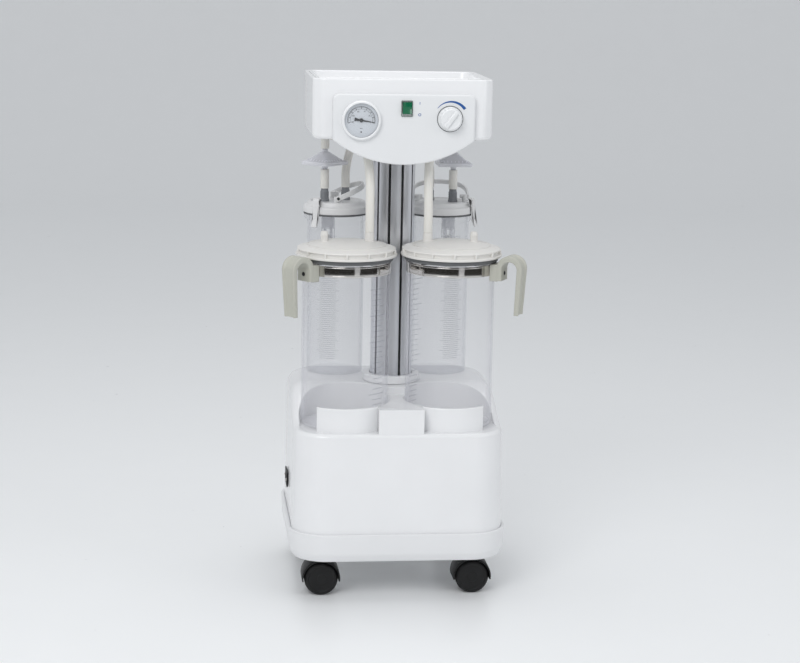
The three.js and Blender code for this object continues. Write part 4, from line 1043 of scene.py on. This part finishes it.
    def dial_print(self) -> None:
        """Prints the scale: ticks on two arcs, plain numbers, and a minus sign below the hub."""
        start, sweep = 192.0, 204.0
        marks = []
        for i in range(41):
            angle = start - sweep * i / 40
            long = i % 5 == 0
            length = 3.6 if long else 2.0
            bar = block((length, 0.9 if long else 0.5, 0.2), (22.6 - length / 2, 0, 1.1), 0.1)
            marks.append(bar.turned(angle))
        for radius, wide in ((22.9, 0.55), (18.6, 0.4)):
            marks.append(arc_band(radius, wide, start - sweep, start, 1.0, 1.2, 72))
        numbers = [Surface(*text_surface(str(value), 3.6)) for value in range(0, 101, 20)]
        for i, number in enumerate(numbers):
            angle = radians(start - sweep * (100 - 20 * i) / 100)
            marks.append(number.moved(15.2 * cos(angle), 15.2 * sin(angle), 1.05))
        marks.append(block((4.4, 0.6, 0.2), (0, -13.5, 1.1), 0.1))
        marks.append(block((2.2, 2.2, 0.2), (0, -19.5, 1.1), 0.6))
        piece("gauge_scale", self.on_face(joined(marks), self.gauge), INK)

    def needle(self) -> Surface:
        """Gives a tapered needle with a counterweight and a domed hub, pointing right and down."""
        edge = [(22, 0.2), (0, 1.5), (-6, 1.8), (-11.5, 3.1)]
        line = np.array(edge + [(x, -y) for x, y in edge[::-1]])
        hub = lathe([(0, 1.3), (3.4, 1.3), (3.4, 2.9), (2, 3.9), (0, 4.0)], 0.8, 40)
        return prism(line, 2.0, 2.7, 0.1, 1).plus(hub).turned(self.needle_rest)

    def rocker_pieces(self) -> None:
        """Makes the green rocker in its frame, with generic marks beside it."""
        outer, inner = rounded_rectangle(9.7, 13.4, 1.6, 5), rounded_rectangle(8.2, 11.9, 0.8, 5)
        levels = [
            (outer, 0.0), (outer, 1.7), (outer * 0.97, 2.3), (inner * 1.03, 2.3), (inner, 1.7), (inner, 0.0),
        ]
        rings = np.array([with_height(line, z) for line, z in levels])
        rim = Surface(rings.reshape(-1, 3), grid_faces(len(rings), len(outer), True, True))
        piece("switch_rim", self.on_face(rim, self.switch), FRAME, replaces=("rocker_frame",))
        profile = np.array([
            (10.0, 3.2), (9.2, 5.6), (6.2, 4.9), (3, 4.25), (0, 3.9), (-3, 4.25), (-6.2, 4.9), (-9.2, 5.6),
            (-10.0, 3.2), (-8, -2), (8, -2),
        ])
        section = Surface(np.column_stack([np.zeros(len(profile)), profile]), [])
        tilted = section.moved(0, 0, 5).turned(-7, "X").moved(0, 0, -5)
        outline = tilted.points[:, 1:]
        body = prism(outline[::-1], -7.6, 7.6, 0.5, 2)
        points = np.column_stack([body.points[:, 2], body.points[:, 0], body.points[:, 1]])
        key = self.on_face(Surface(points, body.faces), self.switch)
        piece("rocker_key", key, ROCKER, "rocker", ("power_rocker",))
        on = block((0.9, 4.4, 0.25), (21.5, 9, 0.1), 0.2)
        off = arc_band(2.0, 0.8, 0, 360, 0.0, 0.25, 32).moved(21.5, -10, 0)
        piece("switch_marks", self.on_face(on.plus(off), self.switch), BLUE)

    def knob_pieces(self) -> None:
        """Makes the regulator knob with its raised grip, the dark ring round it and the blue arc."""
        profile = rounded_line([
            (0, 0.6), (19.6, 0.6), (20.4, 1.2), (20.4, 4.4), (18.9, 6.4), (17.6, 15.2), (15.6, 16.8),
            (13.8, 16.2), (0, 15.6),
        ], 1.8, 5)
        body = revolved(profile, 120)
        angle = np.linspace(0, 2 * pi, 18, endpoint=False)
        ridges = [
            block((1.3, 1.0, 8.4), (18.7, 0, 10.6), 0.4).turned(degrees_of(a)) for a in angle
        ]
        line = rounded_loop([(-4.0, -16), (4.0, -16), (3.4, 16), (-3.4, 16)], [2.6] * 4, 4)
        crest = prism(line, 12, 20.3, 1.4, 3)
        grip = body.plus(crest, *ridges).turned(self.knob_rest)
        piece("knob", self.on_face(grip, self.knob), KNOB, "knob", ("regulator_knob",))
        # A thin dark grey ring on the panel face, just round the knob's foot.
        seat = arc_band(21.4, 1.1, 0, 360, 0.0, 0.45, 96)
        piece("knob_dark_ring", self.on_face(seat, self.knob), GASKET)
        rows = np.linspace(0, 1, 40)
        sweep = np.radians(141 - 107 * rows)
        inner, outer = np.full(len(rows), 27.3), 27.8 + 4.4 * rows
        flat = np.vstack([
            polar(outer, sweep),
            polar(inner, sweep)[::-1],
        ])
        arc = prism(flat[::-1], 0.0, 0.3)
        piece("strength_arc", self.on_face(arc, self.knob), BLUE)

    def build(self) -> None:
        """Makes every piece of the head."""
        piece("head_box", self.shell(), SHELL, replaces=("head_shell",), sharp=50)
        piece("head_top", self.tray(), SHELL, replaces=("head_tray",), sharp=50)
        piece("control_panel", self.panel(), PANEL, replaces=("front_panel",), sharp=50)
        self.gauge_pieces()
        self.rocker_pieces()
        self.knob_pieces()
        screws = [
            screw(x, y, 0).turned(180, "X").moved(0, 0, self.bottom + 0.4)
            for x in (-120, 120) for y in (-70, 95)
        ]
        piece("head_screws", joined(screws), STEEL)


def with_height(outline: np.ndarray, z: float) -> np.ndarray:
    """Adds the same height to every point of an outline."""
    return np.column_stack([outline, np.full(len(outline), z)])


def arc_band(
    radius: float, wide: float, start: float, end: float, low: float, high: float, steps: int
) -> Surface:
    """Gives a flat curved band of constant width, from one angle to another in degrees."""
    full = abs(end - start) >= 360
    angle = np.radians(np.linspace(start, end, steps, endpoint=not full))
    inner, outer = radius - wide / 2, radius + wide / 2
    section = [(inner, low), (outer, low), (outer, high), (inner, high)]
    rings = np.array([[(r * cos(a), r * sin(a), z) for r, z in section] for a in angle])
    if full:
        return Surface(rings.reshape(-1, 3), grid_faces(len(rings), 4, True, True))
    return lofted(rings)


def text_surface(words: str, size: float) -> tuple:
    """Makes a number a flat mesh, centred on the origin.

    Args:
        words: The number.
        size: Its height in millimetres.

    Returns:
        Its points and faces, as a Surface takes them.
    """
    curve = bpy.data.curves.new(f"number_{words}", "FONT")
    curve.body, curve.size, curve.align_x, curve.align_y = words, size, "CENTER", "CENTER"
    curve.extrude = 0.1
    holder = linked(f"number_{words}", curve)
    bpy.context.view_layer.update()
    mesh = bpy.data.meshes.new_from_object(holder)
    points = np.array([v.co for v in mesh.vertices])
    faces = [tuple(p.vertices) for p in mesh.polygons]
    bpy.data.objects.remove(holder)
    bpy.data.curves.remove(curve)
    bpy.data.meshes.remove(mesh)
    return points, faces


# ---- Front jars ----
@dataclass
class FrontJar:
    """A large clear jar with a ribbed lid, a steel band and a hooked jug handle."""

    side: Side
    x: float = 90.0
    y: float = -71.0
    radius: float = 75.0
    low: float = 291.3
    rim: float = 576.0
    lid_low: float = 583.6
    lid_radius: float = 86.5
    rim_height: float = 13.5
    dome: float = 13.0
    ribs: int = 14
    handle_reach: float = 58.0
    handle_width: float = 32.0
    line_count: int = 25
    line_pitch: float = 9.0

    @property
    def body(self) -> str:
        """Gives the body that the whole jar rides on."""
        return f"front_jar_set_{self.side.word}"

    def put(self, name: str, surface: Surface, finish: Finish, node: str = "", sharp: float = 35.0) -> None:
        """Moves a surface to the jar's place and makes it a piece of the jar."""
        replaced = (f"{node}_{self.side.word}",) if node else ()
        placed = surface.moved(self.side.value * self.x, self.y, 0)
        piece(f"{name}_{self.side.word}", placed, finish, self.body, replaced, sharp)

    def jar(self) -> Surface:
        """Gives the jar: a blown wall with a heavy, rounded heel and a raised floor."""
        r, low, inner = self.radius, self.low, self.radius - 2.2
        profile = rounded_line([
            (0, low + 2.5), (48, low + 1.6), (58, low), (r, low), (r, self.rim - 3), (r + 0.1, self.rim),
            (inner, self.rim), (inner, low + 4), (0, low + 5.0),
        ], 6.0, 6)
        return revolved(profile, 128)

    def scale(self) -> Surface:
        """Gives the printed scale: long and short lines on the front of the side towards the column."""
        middle = -47.0 if self.side is Side.LEFT else 139.0
        marks = []
        for i in range(self.line_count):
            z = self.low + 26 + self.line_pitch * i
            half = 15 if i % 5 == 4 else 9
            marks.append(arc_band(self.radius + 0.08, 0.3, middle - half, middle + half, z, z + 0.7, 16))
        return joined(marks)

    def dome_at(self, radius: float) -> float:
        """Gives the height of the lid's dome at a radius: it falls as the square of the radius."""
        share = 1 - (radius / (self.lid_radius - 4)) ** 2
        return self.lid_low + self.rim_height + self.dome * share

    def lid(self) -> Surface:
        """Gives the lid: flange, ribbed rim and a low dome that falls as the square of the radius."""
        r, low = self.lid_radius, self.lid_low
        shoulder = low + self.rim_height
        dome = [(q, self.dome_at(q)) for q in np.linspace(r - 6.5, 0, 14)]
        profile = [
            (0, low + 3), (58, low + 3), (61, low - 10), (66, low - 10), (66, low), (r, low), (r, low + 4.2),
            (r - 5.5, low + 5), (r - 5.5, shoulder - 3.4), (r - 2.2, shoulder - 2.4), (r - 3, shoulder - 0.2),
        ]
        lid = revolved(rounded_line(profile + dome, 1.6, 3), 160)
        rib = block((6.4, 3.0, self.rim_height - 5.5), (r - 4.0, 0, low + 8.2), 1.0)
        ribs = [rib.turned(360 * (i + 0.35) / self.ribs) for i in range(self.ribs)]
        ring = arc_band(r - 20, 1.4, 0, 360, shoulder + 1.5, self.dome_at(r - 20) + 0.8, 120)
        return lid.plus(ring, *ribs)

    def nozzles(self) -> Surface:
        """Gives the bare nozzle with its barbs and the stub under the hose."""
        top = self.lid_low + self.rim_height + self.dome - 5 + 19
        s = self.side.value
        bare = lathe_ring([
            (3.4, top - 30), (9.5, top - 30), (7.4, top - 20), (6.3, top - 15), (6.3, top - 8),
            (6.9, top - 7.4), (5.6, top - 0.6), (5.0, top), (3.4, top),
        ], 0.8, 40, 3)
        stub = lathe_ring([
            (3.4, top - 30), (11, top - 30), (9.0, top - 20), (8.2, top - 16), (8.0, top - 3.4),
            (7.4, top - 3), (3.4, top - 3),
        ], 0.8, 40, 3)
        return bare.moved(s * 38, -2, 0).plus(stub.moved(-s * 40, 9, 0))

    def handle(self) -> Surface:
        """Gives the hooked handle: an arch from the band over and down, with a hollow outer face.

        The section across the grip is a shallow channel: its outside face falls in towards the
        middle as a flat-bottomed trough.
        """
        reach = self.radius + self.handle_reach
        arch_x, arch_z, outer_r, thick = reach - 23, 568.0, 23.0, 10.0
        turn = np.linspace(pi, 0, 22)
        leg = np.linspace(0, 1, 14)[1:]
        mid_r = outer_r - thick / 2
        centre = np.vstack([
            np.column_stack([np.full(6, arch_x - mid_r), np.linspace(548, arch_z - 2, 6)]),
            np.column_stack([arch_x + mid_r * np.cos(turn), arch_z + mid_r * np.sin(turn)]),
            np.column_stack([arch_x + mid_r - 4.4 * leg, arch_z - 77.6 * leg]),
        ])
        along = directions(centre)
        out = np.column_stack([-along[:, 1], along[:, 0]])
        run = np.linspace(0, 1, len(centre))
        half = self.handle_width / 2 * (1 - 0.16 * np.clip((run - 0.45) / 0.55, 0, 1))
        t = thick / 2 * (1 - 0.2 * np.clip((run - 0.5) / 0.5, 0, 1))
        groove = 2.6 * smooth(run - 0.42, 0.16)
        rings = []
        for c, o, h, d, g in zip(centre, out, half, t, groove):
            corners = [
                (-h, -d), (h, -d), (h, d), (h - 4, d), (h - 6.5, d - g), (-h + 6.5, d - g),
                (-h + 4, d), (-h, d),
            ]
            section = rounded_loop(corners, [2.2, 2.2, 1.8, 1.4, 1.2, 1.2, 1.4, 1.8], 3)
            rings.append(standing(c, o, section[:, 1], section[:, 0]))
        hook = lofted(np.array(rings))
        wall = self.radius + 2.4
        angle = np.linspace(-0.205, 0.205, 20)
        inner = polar(wall, angle)
        outer_x = arch_x - outer_r + 2.5
        pad = np.vstack([inner[::-1], [(outer_x, -self.handle_width / 2), (outer_x, self.handle_width / 2)]])
        seat = prism(rounded_loop(pad.tolist(), [0.3] * 20 + [2.4, 2.4], 3), 546.5, 575, 1.4)
        return hook.plus(seat)

    def handle_turn(self) -> float:
        """Gives the handle's direction about Z, in degrees from +X."""
        return 180 + 38 if self.side is Side.LEFT else -29

    def build(self) -> None:
        """Makes every piece of the jar."""
        self.put("jar_glass", self.jar(), CLEAR, "front_jar")
        self.put("jar_print", self.scale(), PRINT)
        band = lathe_ring([(75.3, 555.5), (77.0, 555.5), (77.0, 574), (75.3, 574)], 0.5, 160, 3)
        beads = [
            revolved(rounded_line([(76.6, z - 1), (77.5, z), (76.6, z + 1)], 0.6, 3), 128, True)
            for z in (558, 571.5)
        ]
        self.put("steel_band", band.plus(*beads), STEEL, "jar_band")
        gasket = lathe_ring([(67, 576.3), (80, 576.3), (80, 583.3), (67, 583.3)], 1.8, 128)
        self.put("gasket", gasket, GASKET, "lid_gasket")
        self.put("lid", self.lid(), LID, "jar_lid")
        self.put("lid_nozzles", self.nozzles(), LID)
        turn = self.handle_turn()
        self.put("handle", self.handle().turned(turn), HANDLE, "jar_handle")
        inner_x = self.radius + self.handle_reach - 46 + 10
        bolt = screw(0, 0, 0, 3.6).turned(90, "Y").moved(inner_x - 0.2, 0, 560).turned(turn)
        self.put("handle_screw", bolt, INK)


# ---- Rear jars ----
@dataclass
class RearJar:
    """A narrow overflow jar with a float valve, a lid held by a bail, and a clip at its rim."""

    side: Side
    x: float = 94.0
    y: float = 109.0
    radius: float = 50.5
    low: float = 346.3
    rim: float = 631.0
    lid_low: float = 634.2
    lid_radius: float = 58.5
    ear_x: float = 42.0
    pivot_z: float = 662.7
    bail_half: float = 48.5
    bail_reach: float = 52.0
    bail_tilt: float = 24.0
    line_count: int = 62
    line_pitch: float = 3.6
    float_place: tuple = (108.0, 109.0)

    def put(self, name: str, surface: Surface, finish: Finish, node: str = "", body: str = "root") -> None:
        """Moves a surface to the jar's place and makes it a piece on a body."""
        replaced = (f"{node}_{self.side.word}",) if node else ()
        placed = surface.moved(self.side.value * self.x, self.y, 0)
        piece(f"{name}_{self.side.word}", placed, finish, body, replaced)

    def offset(self, x: float, y: float) -> tuple:
        """Gives a place on the pump, stated for the right side, as an offset from this jar's axis."""
        return self.side.value * (x - self.x), y - self.y

    def bail_turn(self) -> float:
        """Gives the bail's turn about the jar's axis: the left one leans to the column."""
        return -90.0 if self.side is Side.LEFT else 0.0

    def jar(self) -> Surface:
        """Gives the jar: a thin wall, a rounded heel and a heavy outward flange at the mouth."""
        r, low, rim, inner = self.radius, self.low, self.rim, self.radius - 2.0
        profile = rounded_line([
            (0, low + 1.5), (34, low), (r, low), (r, rim - 13), (r + 7, rim - 7), (r + 7, rim), (inner, rim),
            (inner, low + 2.6), (0, low + 3.2),
        ], 4.0, 5)
        return revolved(profile, 112)

    def lines(self) -> Surface:
        """Gives the printed level lines, every fifth one longer, on the rear jar's front side."""
        middle = 250.0 if self.side is Side.LEFT else 290.0
        marks = []
        for i in range(self.line_count):
            z = self.low + 30 + self.line_pitch * i
            half = 24 if i % 5 == 4 else 17
            marks.append(arc_band(self.radius + 0.07, 0.26, middle - half, middle + half, z, z + 0.55, 14))
        return joined(marks)

    def lid(self) -> Surface:
        """Gives the lid: a disc with a raised top and a rounded skirt."""
        r, low = self.lid_radius, self.lid_low
        profile = rounded_line([
            (0, low), (r, low), (r, low + 12), (r - 6, low + 14), (r - 8, low + 21), (r - 14, low + 21),
            (r - 16, low + 18.6), (0, low + 18.6),
        ], 2.2, 4)
        lid = revolved(profile, 128)
        top = low + 18.6
        ears = []
        for x in (-self.ear_x, self.ear_x):
            ear = block((7, 15, 21), (x, 0, top + 2.4), 2.4)
            pin = lathe([(0, -8.2), (3.4, -8.2), (3.4, 8.2), (0, 8.2)], 0.8, 24).turned(90, "Y")
            ears += [ear, pin.moved(x, 0, self.pivot_z)]
        return lid.plus(*(ear.turned(self.bail_turn()) for ear in ears))

    def sleeves(self) -> Surface:
        """Gives the two ribbed sleeves that the filter tube and the long hose stand in."""
        parts = []
        low, top = self.lid_low + 16, self.lid_low + 41
        for x, y in ((115.0, 109.0), (76.0, 130.0)):
            line = [(3.5, low), (8.4, low), (8.4, low + 6)]
            for i in range(4):
                z = low + 7 + 3.4 * i
                line += [(7.4, z), (8.0, z + 1.2), (7.4, z + 2.4)]
            line += [(6.6, top - 3), (6.6, top - 0.6), (5.6, top), (3.5, top)]
            parts.append(lathe_ring(line, 0.6, 40, 2).moved(*self.offset(x, y), 0))
        return joined(parts)

    def bail(self) -> Surface:
        """Gives the bail: a flat strap bent into an arch, leaning back, or to the column on the left.

        Its centreline is two straight legs joined by a quarter-ellipse on each side.
        """
        turn = np.linspace(0, pi, 40)
        half, reach = self.bail_half, self.bail_reach
        arch = np.column_stack([half * np.cos(turn), 14 + (reach - 14) * np.sin(turn) ** 0.8])
        line = np.vstack([[(half, -4.5)], [(half, 2)], arch, [(-half, 2)], [(-half, -4.5)]])
        along = directions(line)
        out = np.column_stack([along[:, 1], -along[:, 0]])
        section = rounded_loop([(-1.7, -4.5), (1.7, -4.5), (1.7, 4.5), (-1.7, 4.5)], [1.2] * 4, 3)
        rings = [standing(c, o, section[:, 0], section[:, 1]) for c, o in zip(line, out)]
        strap = lofted(np.array(rings))
        laid = strap.turned(self.bail_tilt - 90, "X").turned(self.bail_turn())
        return laid.moved(0, 0, self.pivot_z)

    def clip(self) -> Surface:
        """Gives the clip: a channel with two cheeks, a rounded shoulder and a flared tab."""
        def slab(line: list, low: float, high: float, softness: float) -> Surface:
            """Gives a slab drawn in radius and height, from one tangential place to another."""
            made = prism(rounded_loop(line, [softness] * len(line), 3), low, high, 0.6)
            return Surface(made.points[:, [0, 2, 1]] * np.array([1, -1, 1]), made.faces)

        leaf = slab([
            (60.4, 624), (66.0, 611.8), (69.0, 613.4), (63.2, 626), (63.2, 658), (60.6, 662.8), (53.4, 663),
            (53.4, 660.8), (59.0, 659.6), (60.4, 657),
        ], -6.0, 6.0, 0.7)
        cheeks = [
            slab([(60.2, 629), (62.6, 628), (62.6, 657), (60.2, 657)], low, low + 1.6, 1.0)
            for low in (-6.4, 4.8)
        ]
        rivet = lathe([(0, -7.0), (2.0, -7.0), (2.0, 7.0), (0, 7.0)], 0.6, 20).turned(90, "X")
        pin = lathe([(0, 62.8), (1.8, 62.8), (1.8, 63.7), (0, 63.9)], 0.3, 20).turned(90, "Y")
        whole = leaf.plus(*cheeks, rivet.moved(61.0, 0, 650), pin.moved(0, 0, 649))
        return whole.turned(230 if self.side is Side.LEFT else -28)

    def cage(self) -> Surface:
        """Gives the float cage: a cup with six slots, made of a floor, two rings and six bars."""
        low, top, r = 556.0, 634.0, 12.0
        rings = [
            revolved(np.array([(r - 1.8, a), (r, a), (r, b), (r - 1.8, b)]), 40, True)
            for a, b in ((low, low + 8), (top - 30, top))
        ]
        floor = lathe([(0, low), (r, low), (r, low + 2), (0, low + 2)], 0.6, 40)
        bar = block((1.8, 4.4, top - 34 - low), (r - 0.9, 0, (low + top - 26) / 2), 0.5)
        whole = floor.plus(*rings, *(bar.turned(60 * i) for i in range(6)))
        return whole.moved(*self.offset(*self.float_place), 0)

    def float_piece(self) -> Surface:
        """Gives the float: a cup with a rounded foot and a seat on top."""
        node = f"float_{self.side.word}"
        low, high = low_of(node)[2], high_of(node)[2]
        cup = lathe([(0, low), (9.0, low), (9.0, high - 5), (4, high - 3), (3.4, high), (0, high)], 1.6, 40)
        return cup.moved(*self.offset(*self.float_place), 0)

    def build(self) -> None:
        """Makes every piece of the jar."""
        word = self.side.word
        self.put("overflow_jar", self.jar(), REAR_CLEAR, "rear_jar")
        self.put("overflow_print", self.lines(), PRINT)
        gasket = lathe_ring([(46.9, 631.3), (57.9, 631.3), (57.9, 633.9), (46.9, 633.9)], 0.8, 112)
        self.put("overflow_gasket", gasket, GASKET, "rear_gasket")
        self.put("overflow_lid", self.lid(), REAR_LID, "rear_lid")
        self.put("sleeves", self.sleeves(), SLEEVE)
        self.put("bail", self.bail(), REAR_LID, "rear_bail", f"bail_{word}")
        self.put("clip", self.clip(), REAR_LID, "rear_clip", f"clip_{word}")
        self.put("cage", self.cage(), CAGE, "float_cage")
        self.put("float_cup", self.float_piece(), FLOAT, "float", f"float_body_{word}")


# ---- Filters and tubing ----
@dataclass
class AirLine:
    """One side's line from the rear jar up through its filter, and the hose to the front jar."""

    side: Side
    filter_x: float = 115.0
    filter_y: float = 109.0
    filter_side: float = 61.0
    filter_low: float = 718.0
    filter_rise: float = 15.4
    hose_radius: float = 7.6

    def filter_body(self) -> Surface:
        """Gives the filter's shell: a square slab, a low pyramid on it and a spigot at each end."""
        half, low, high = self.filter_side / 2, self.filter_low, self.filter_low + 6.0
        slab = prism(rounded_rectangle(half, half, 4.5, 6), low, high, 1.6)
        rim = prism(rounded_rectangle(half - 3.6, half - 3.6, 3.4, 6), high - 0.6, high + 1.2, 0.6)
        rings = []
        for share in np.linspace(0, 1, 9):
            size = (half - 6) * (1 - share) + 7.5 * share
            section = rounded_rectangle(size, size, 3 + 3 * share, 6)
            rings.append(with_height(section, high + 0.8 + self.filter_rise * share**1.05))
        top = high + self.filter_rise
        upper = [
            (3.2, top - 1), (6.4, top - 1), (6.0, top + 2), (4.9, top + 3), (4.9, top + 6), (3.2, top + 6),
        ]
        lower = [(3.2, low - 8), (4.9, low - 8), (5.4, low - 4), (8, low + 0.4), (3.2, low + 0.4)]
        ends = [revolved(rounded_line(line, 0.5), 32, True) for line in (upper, lower)]
        return slab.plus(rim, lofted(np.array(rings)), *ends)

    def filter_ribs(self) -> Surface:
        """Gives the ribs that stand on the filter's pyramid and round its rim."""
        half, high = self.filter_side / 2, self.filter_low + 6.0
        ribs = []
        for i in range(-3, 4):
            across = abs(i) * 6.6
            rise = self.filter_rise * (1 - across / (half - 6))
            line = np.array([(across - 0.2, 0), (half - 6, 0), (across + 1.2, rise), (across - 0.2, rise)])
            fin = prism(line, -0.6, 0.6, 0.15, 1)
            upright = Surface(fin.points[:, [0, 2, 1]], fin.faces).moved(0, i * 6.6, high + 1.4)
            ribs += [upright.turned(90 * k) for k in range(4)]
        return joined(ribs)

    def path(self) -> np.ndarray:
        """Gives the centreline of the long hose, in millimetres."""
        start, end = self.side.value * 76.0, self.side.value * 50.0
        d = end - start
        points = [
            (start, 130, 675.5), (start, 130, 703.2), (start + 0.12 * d, 124, 728),
            (start + 0.3 * d, 102, 754), (start + 0.45 * d, 66, 768), (start + 0.6 * d, 26, 772),
            (start + 0.75 * d, -12, 764),
            (start + 0.9 * d, -40, 742), (end, -56, 708), (end, -62, 664), (end, -62, 621.4),
        ]
        return spline(points, 9)

    def short_tube(self, low: float, high: float) -> Surface:
        """Gives a short upright tube with softened ends."""
        r, bore = self.hose_radius, 4.2
        made = lathe_ring([(bore, low), (r, low), (r, high), (bore, high)], 0.8, 40)
        return made.moved(self.side.value * self.filter_x, self.filter_y, 0)

    def build(self) -> None:
        word = self.side.word
        turn = 45.0 if self.side is Side.LEFT else 0.0
        place = (self.side.value * self.filter_x, self.filter_y, 0)
        shell = self.filter_body().turned(turn).moved(*place)
        piece(f"filter_{word}", shell, FILTER, replaces=(f"air_filter_{word}",))
        piece(f"filter_ribs_{word}", self.filter_ribs().turned(turn).moved(*place), FILTER_RIB)
        piece(f"tube_low_{word}", self.short_tube(675.5, 709.7), HOSE, replaces=(f"lower_tube_{word}",))
        piece(f"tube_high_{word}", self.short_tube(746.3, 781.7), HOSE, replaces=(f"upper_tube_{word}",))
        path = self.path()
        hose = piece(f"hose_{word}", tube(path, self.hose_radius, 28), HOSE, "", (f"arch_hose_{word}",))
        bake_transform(hose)


# ---- Studio ----
@dataclass
class Studio:
    """The pale floor and backdrop, three soft lights, and the camera."""

    lens: float = 90.2
    elevation: float = 10.8
    azimuth: float = -6.5
    roll: float = 1.1
    distance: float = 3.5145
    aim: tuple = (0.0123, 0.0, 0.4369)

    def back(self) -> Vector:
        """Gives the direction from the object to the camera."""
        e, a = radians(self.elevation), radians(self.azimuth)
        return Vector((sin(a) * cos(e), -cos(a) * cos(e), sin(e)))

    def camera(self) -> None:
        """Places the camera and turns it a little about its own axis."""
        back, roll = self.back(), radians(self.roll)
        x = Vector((0, 0, 1)).cross(back).normalized()
        y = back.cross(x)
        right, up = x * cos(roll) + y * sin(roll), -x * sin(roll) + y * cos(roll)
        place = Vector(self.aim) + back * self.distance
        data = bpy.data.cameras.new("studio_camera")
        data.lens = self.lens
        data.dof.use_dof = False
        data.clip_end = 60
        made = linked("studio_camera", data)
        made.matrix_world = Matrix((
            (right.x, up.x, back.x, place.x), (right.y, up.y, back.y, place.y),
            (right.z, up.z, back.z, place.z), (0, 0, 0, 1),
        ))
        bpy.context.scene.camera = made

    def floor(self) -> None:
        """Makes a floor that curves up into a backdrop far behind the pump."""
        turn = np.linspace(0, pi / 2, 24)
        bend, rear = 2.5, 5.0
        y = np.concatenate([[-9.0, -1.0, 1.0], rear + bend * np.sin(turn), [rear + bend]])
        z = np.concatenate([[0.0, 0.0, 0.0], bend - bend * np.cos(turn), [9.0]])
        left = np.column_stack([np.full(len(y), -12.0), y, z])
        right = left * np.array([-1, 1, 1])
        points = np.concatenate([left, right])
        count = len(y)
        faces = [(i, i + count, i + 1 + count, i + 1) for i in range(count - 1)]
        mesh = bpy.data.meshes.new("studio_floor")
        mesh.from_pydata(points.tolist(), [], faces)
        mesh.shade_smooth()
        made = linked("studio_floor", mesh)
        finish = Finish("studio_floor", "shell", (0.93, 0.94, 0.945), 0.3, grain=60, bump=0.0, tint=0.004)
        mesh.materials.append(finish.material())

    def card(self) -> None:
        """Stands a dark card in front of the pump that only shiny surfaces can see."""
        points, faces = [], []
        for start, end in ((-78, 14), (27, 78)):
            turns = np.radians(np.linspace(start, end, 24))
            first = len(points)
            for height in (0.0, 0.7):
                points += [(2.2 * sin(t), -2.2 * cos(t), height) for t in turns]
            faces += [(first + k, first + k + 1, first + k + 25, first + k + 24) for k in range(23)]
        mesh = bpy.data.meshes.new("studio_card")
        mesh.from_pydata(points, [], faces)
        made = linked("studio_card", mesh)
        mesh.materials.append(Finish("studio_card", "black", (0.03, 0.028, 0.025), 0.8, bump=0.0).material())
        made.visible_camera = made.visible_diffuse = made.visible_shadow = made.visible_transmission = False

    def light(self, name: str, place: tuple, size: tuple, power: float, color: tuple) -> None:
        """Places one soft area light that faces the middle of the pump."""
        data = bpy.data.lights.new(name, "AREA")
        data.shape, data.size, data.size_y = "RECTANGLE", *size
        data.energy, data.color = power, color
        made = linked(name, data)
        made.location = place
        made.rotation_euler = (Vector(place) - Vector((0, 0, 0.5))).to_track_quat("Z", "Y").to_euler()

    def world(self) -> None:
        """Sets a pale, even surround."""
        made = bpy.data.worlds.new("studio_world")
        made.use_nodes = True
        shade = made.node_tree.nodes["Background"]
        shade.inputs["Color"].default_value = (0.95, 0.97, 1.0, 1)
        shade.inputs["Strength"].default_value = 0.6
        bpy.context.scene.world = made

    def build(self) -> None:
        """Makes the whole studio."""
        self.camera()
        self.floor()
        self.world()
        self.card()
        self.light("key", (-1.2, -2.4, 2.4), (1.6, 1.6), 35, (1.0, 1.0, 1.0))
        self.light("fill", (2.6, -1.8, 1.4), (1.4, 1.8), 9, (0.97, 0.98, 1.0))
        self.light("top", (0.0, 0.3, 3.0), (1.8, 1.4), 16, (1.0, 1.0, 1.0))


def main() -> None:
    """Builds the studio and every sub-assembly in order."""
    logging.basicConfig(level=logging.INFO, format="%(name)s %(message)s")
    bpy.context.scene.view_settings.view_transform = "Standard"
    bpy.context.scene.cycles.transparent_max_bounces = CLEAR_WALLS
    Studio().build()
    for side in Side:
        AirLine(side).build()
    Cabinet().build()
    for corner in Corner:
        Caster(corner).build()
    Column().build()
    ControlHead().build()
    for side in Side:
        FrontJar(side).build()
        RearJar(side).build()


if __name__ == "__main__":
    main()
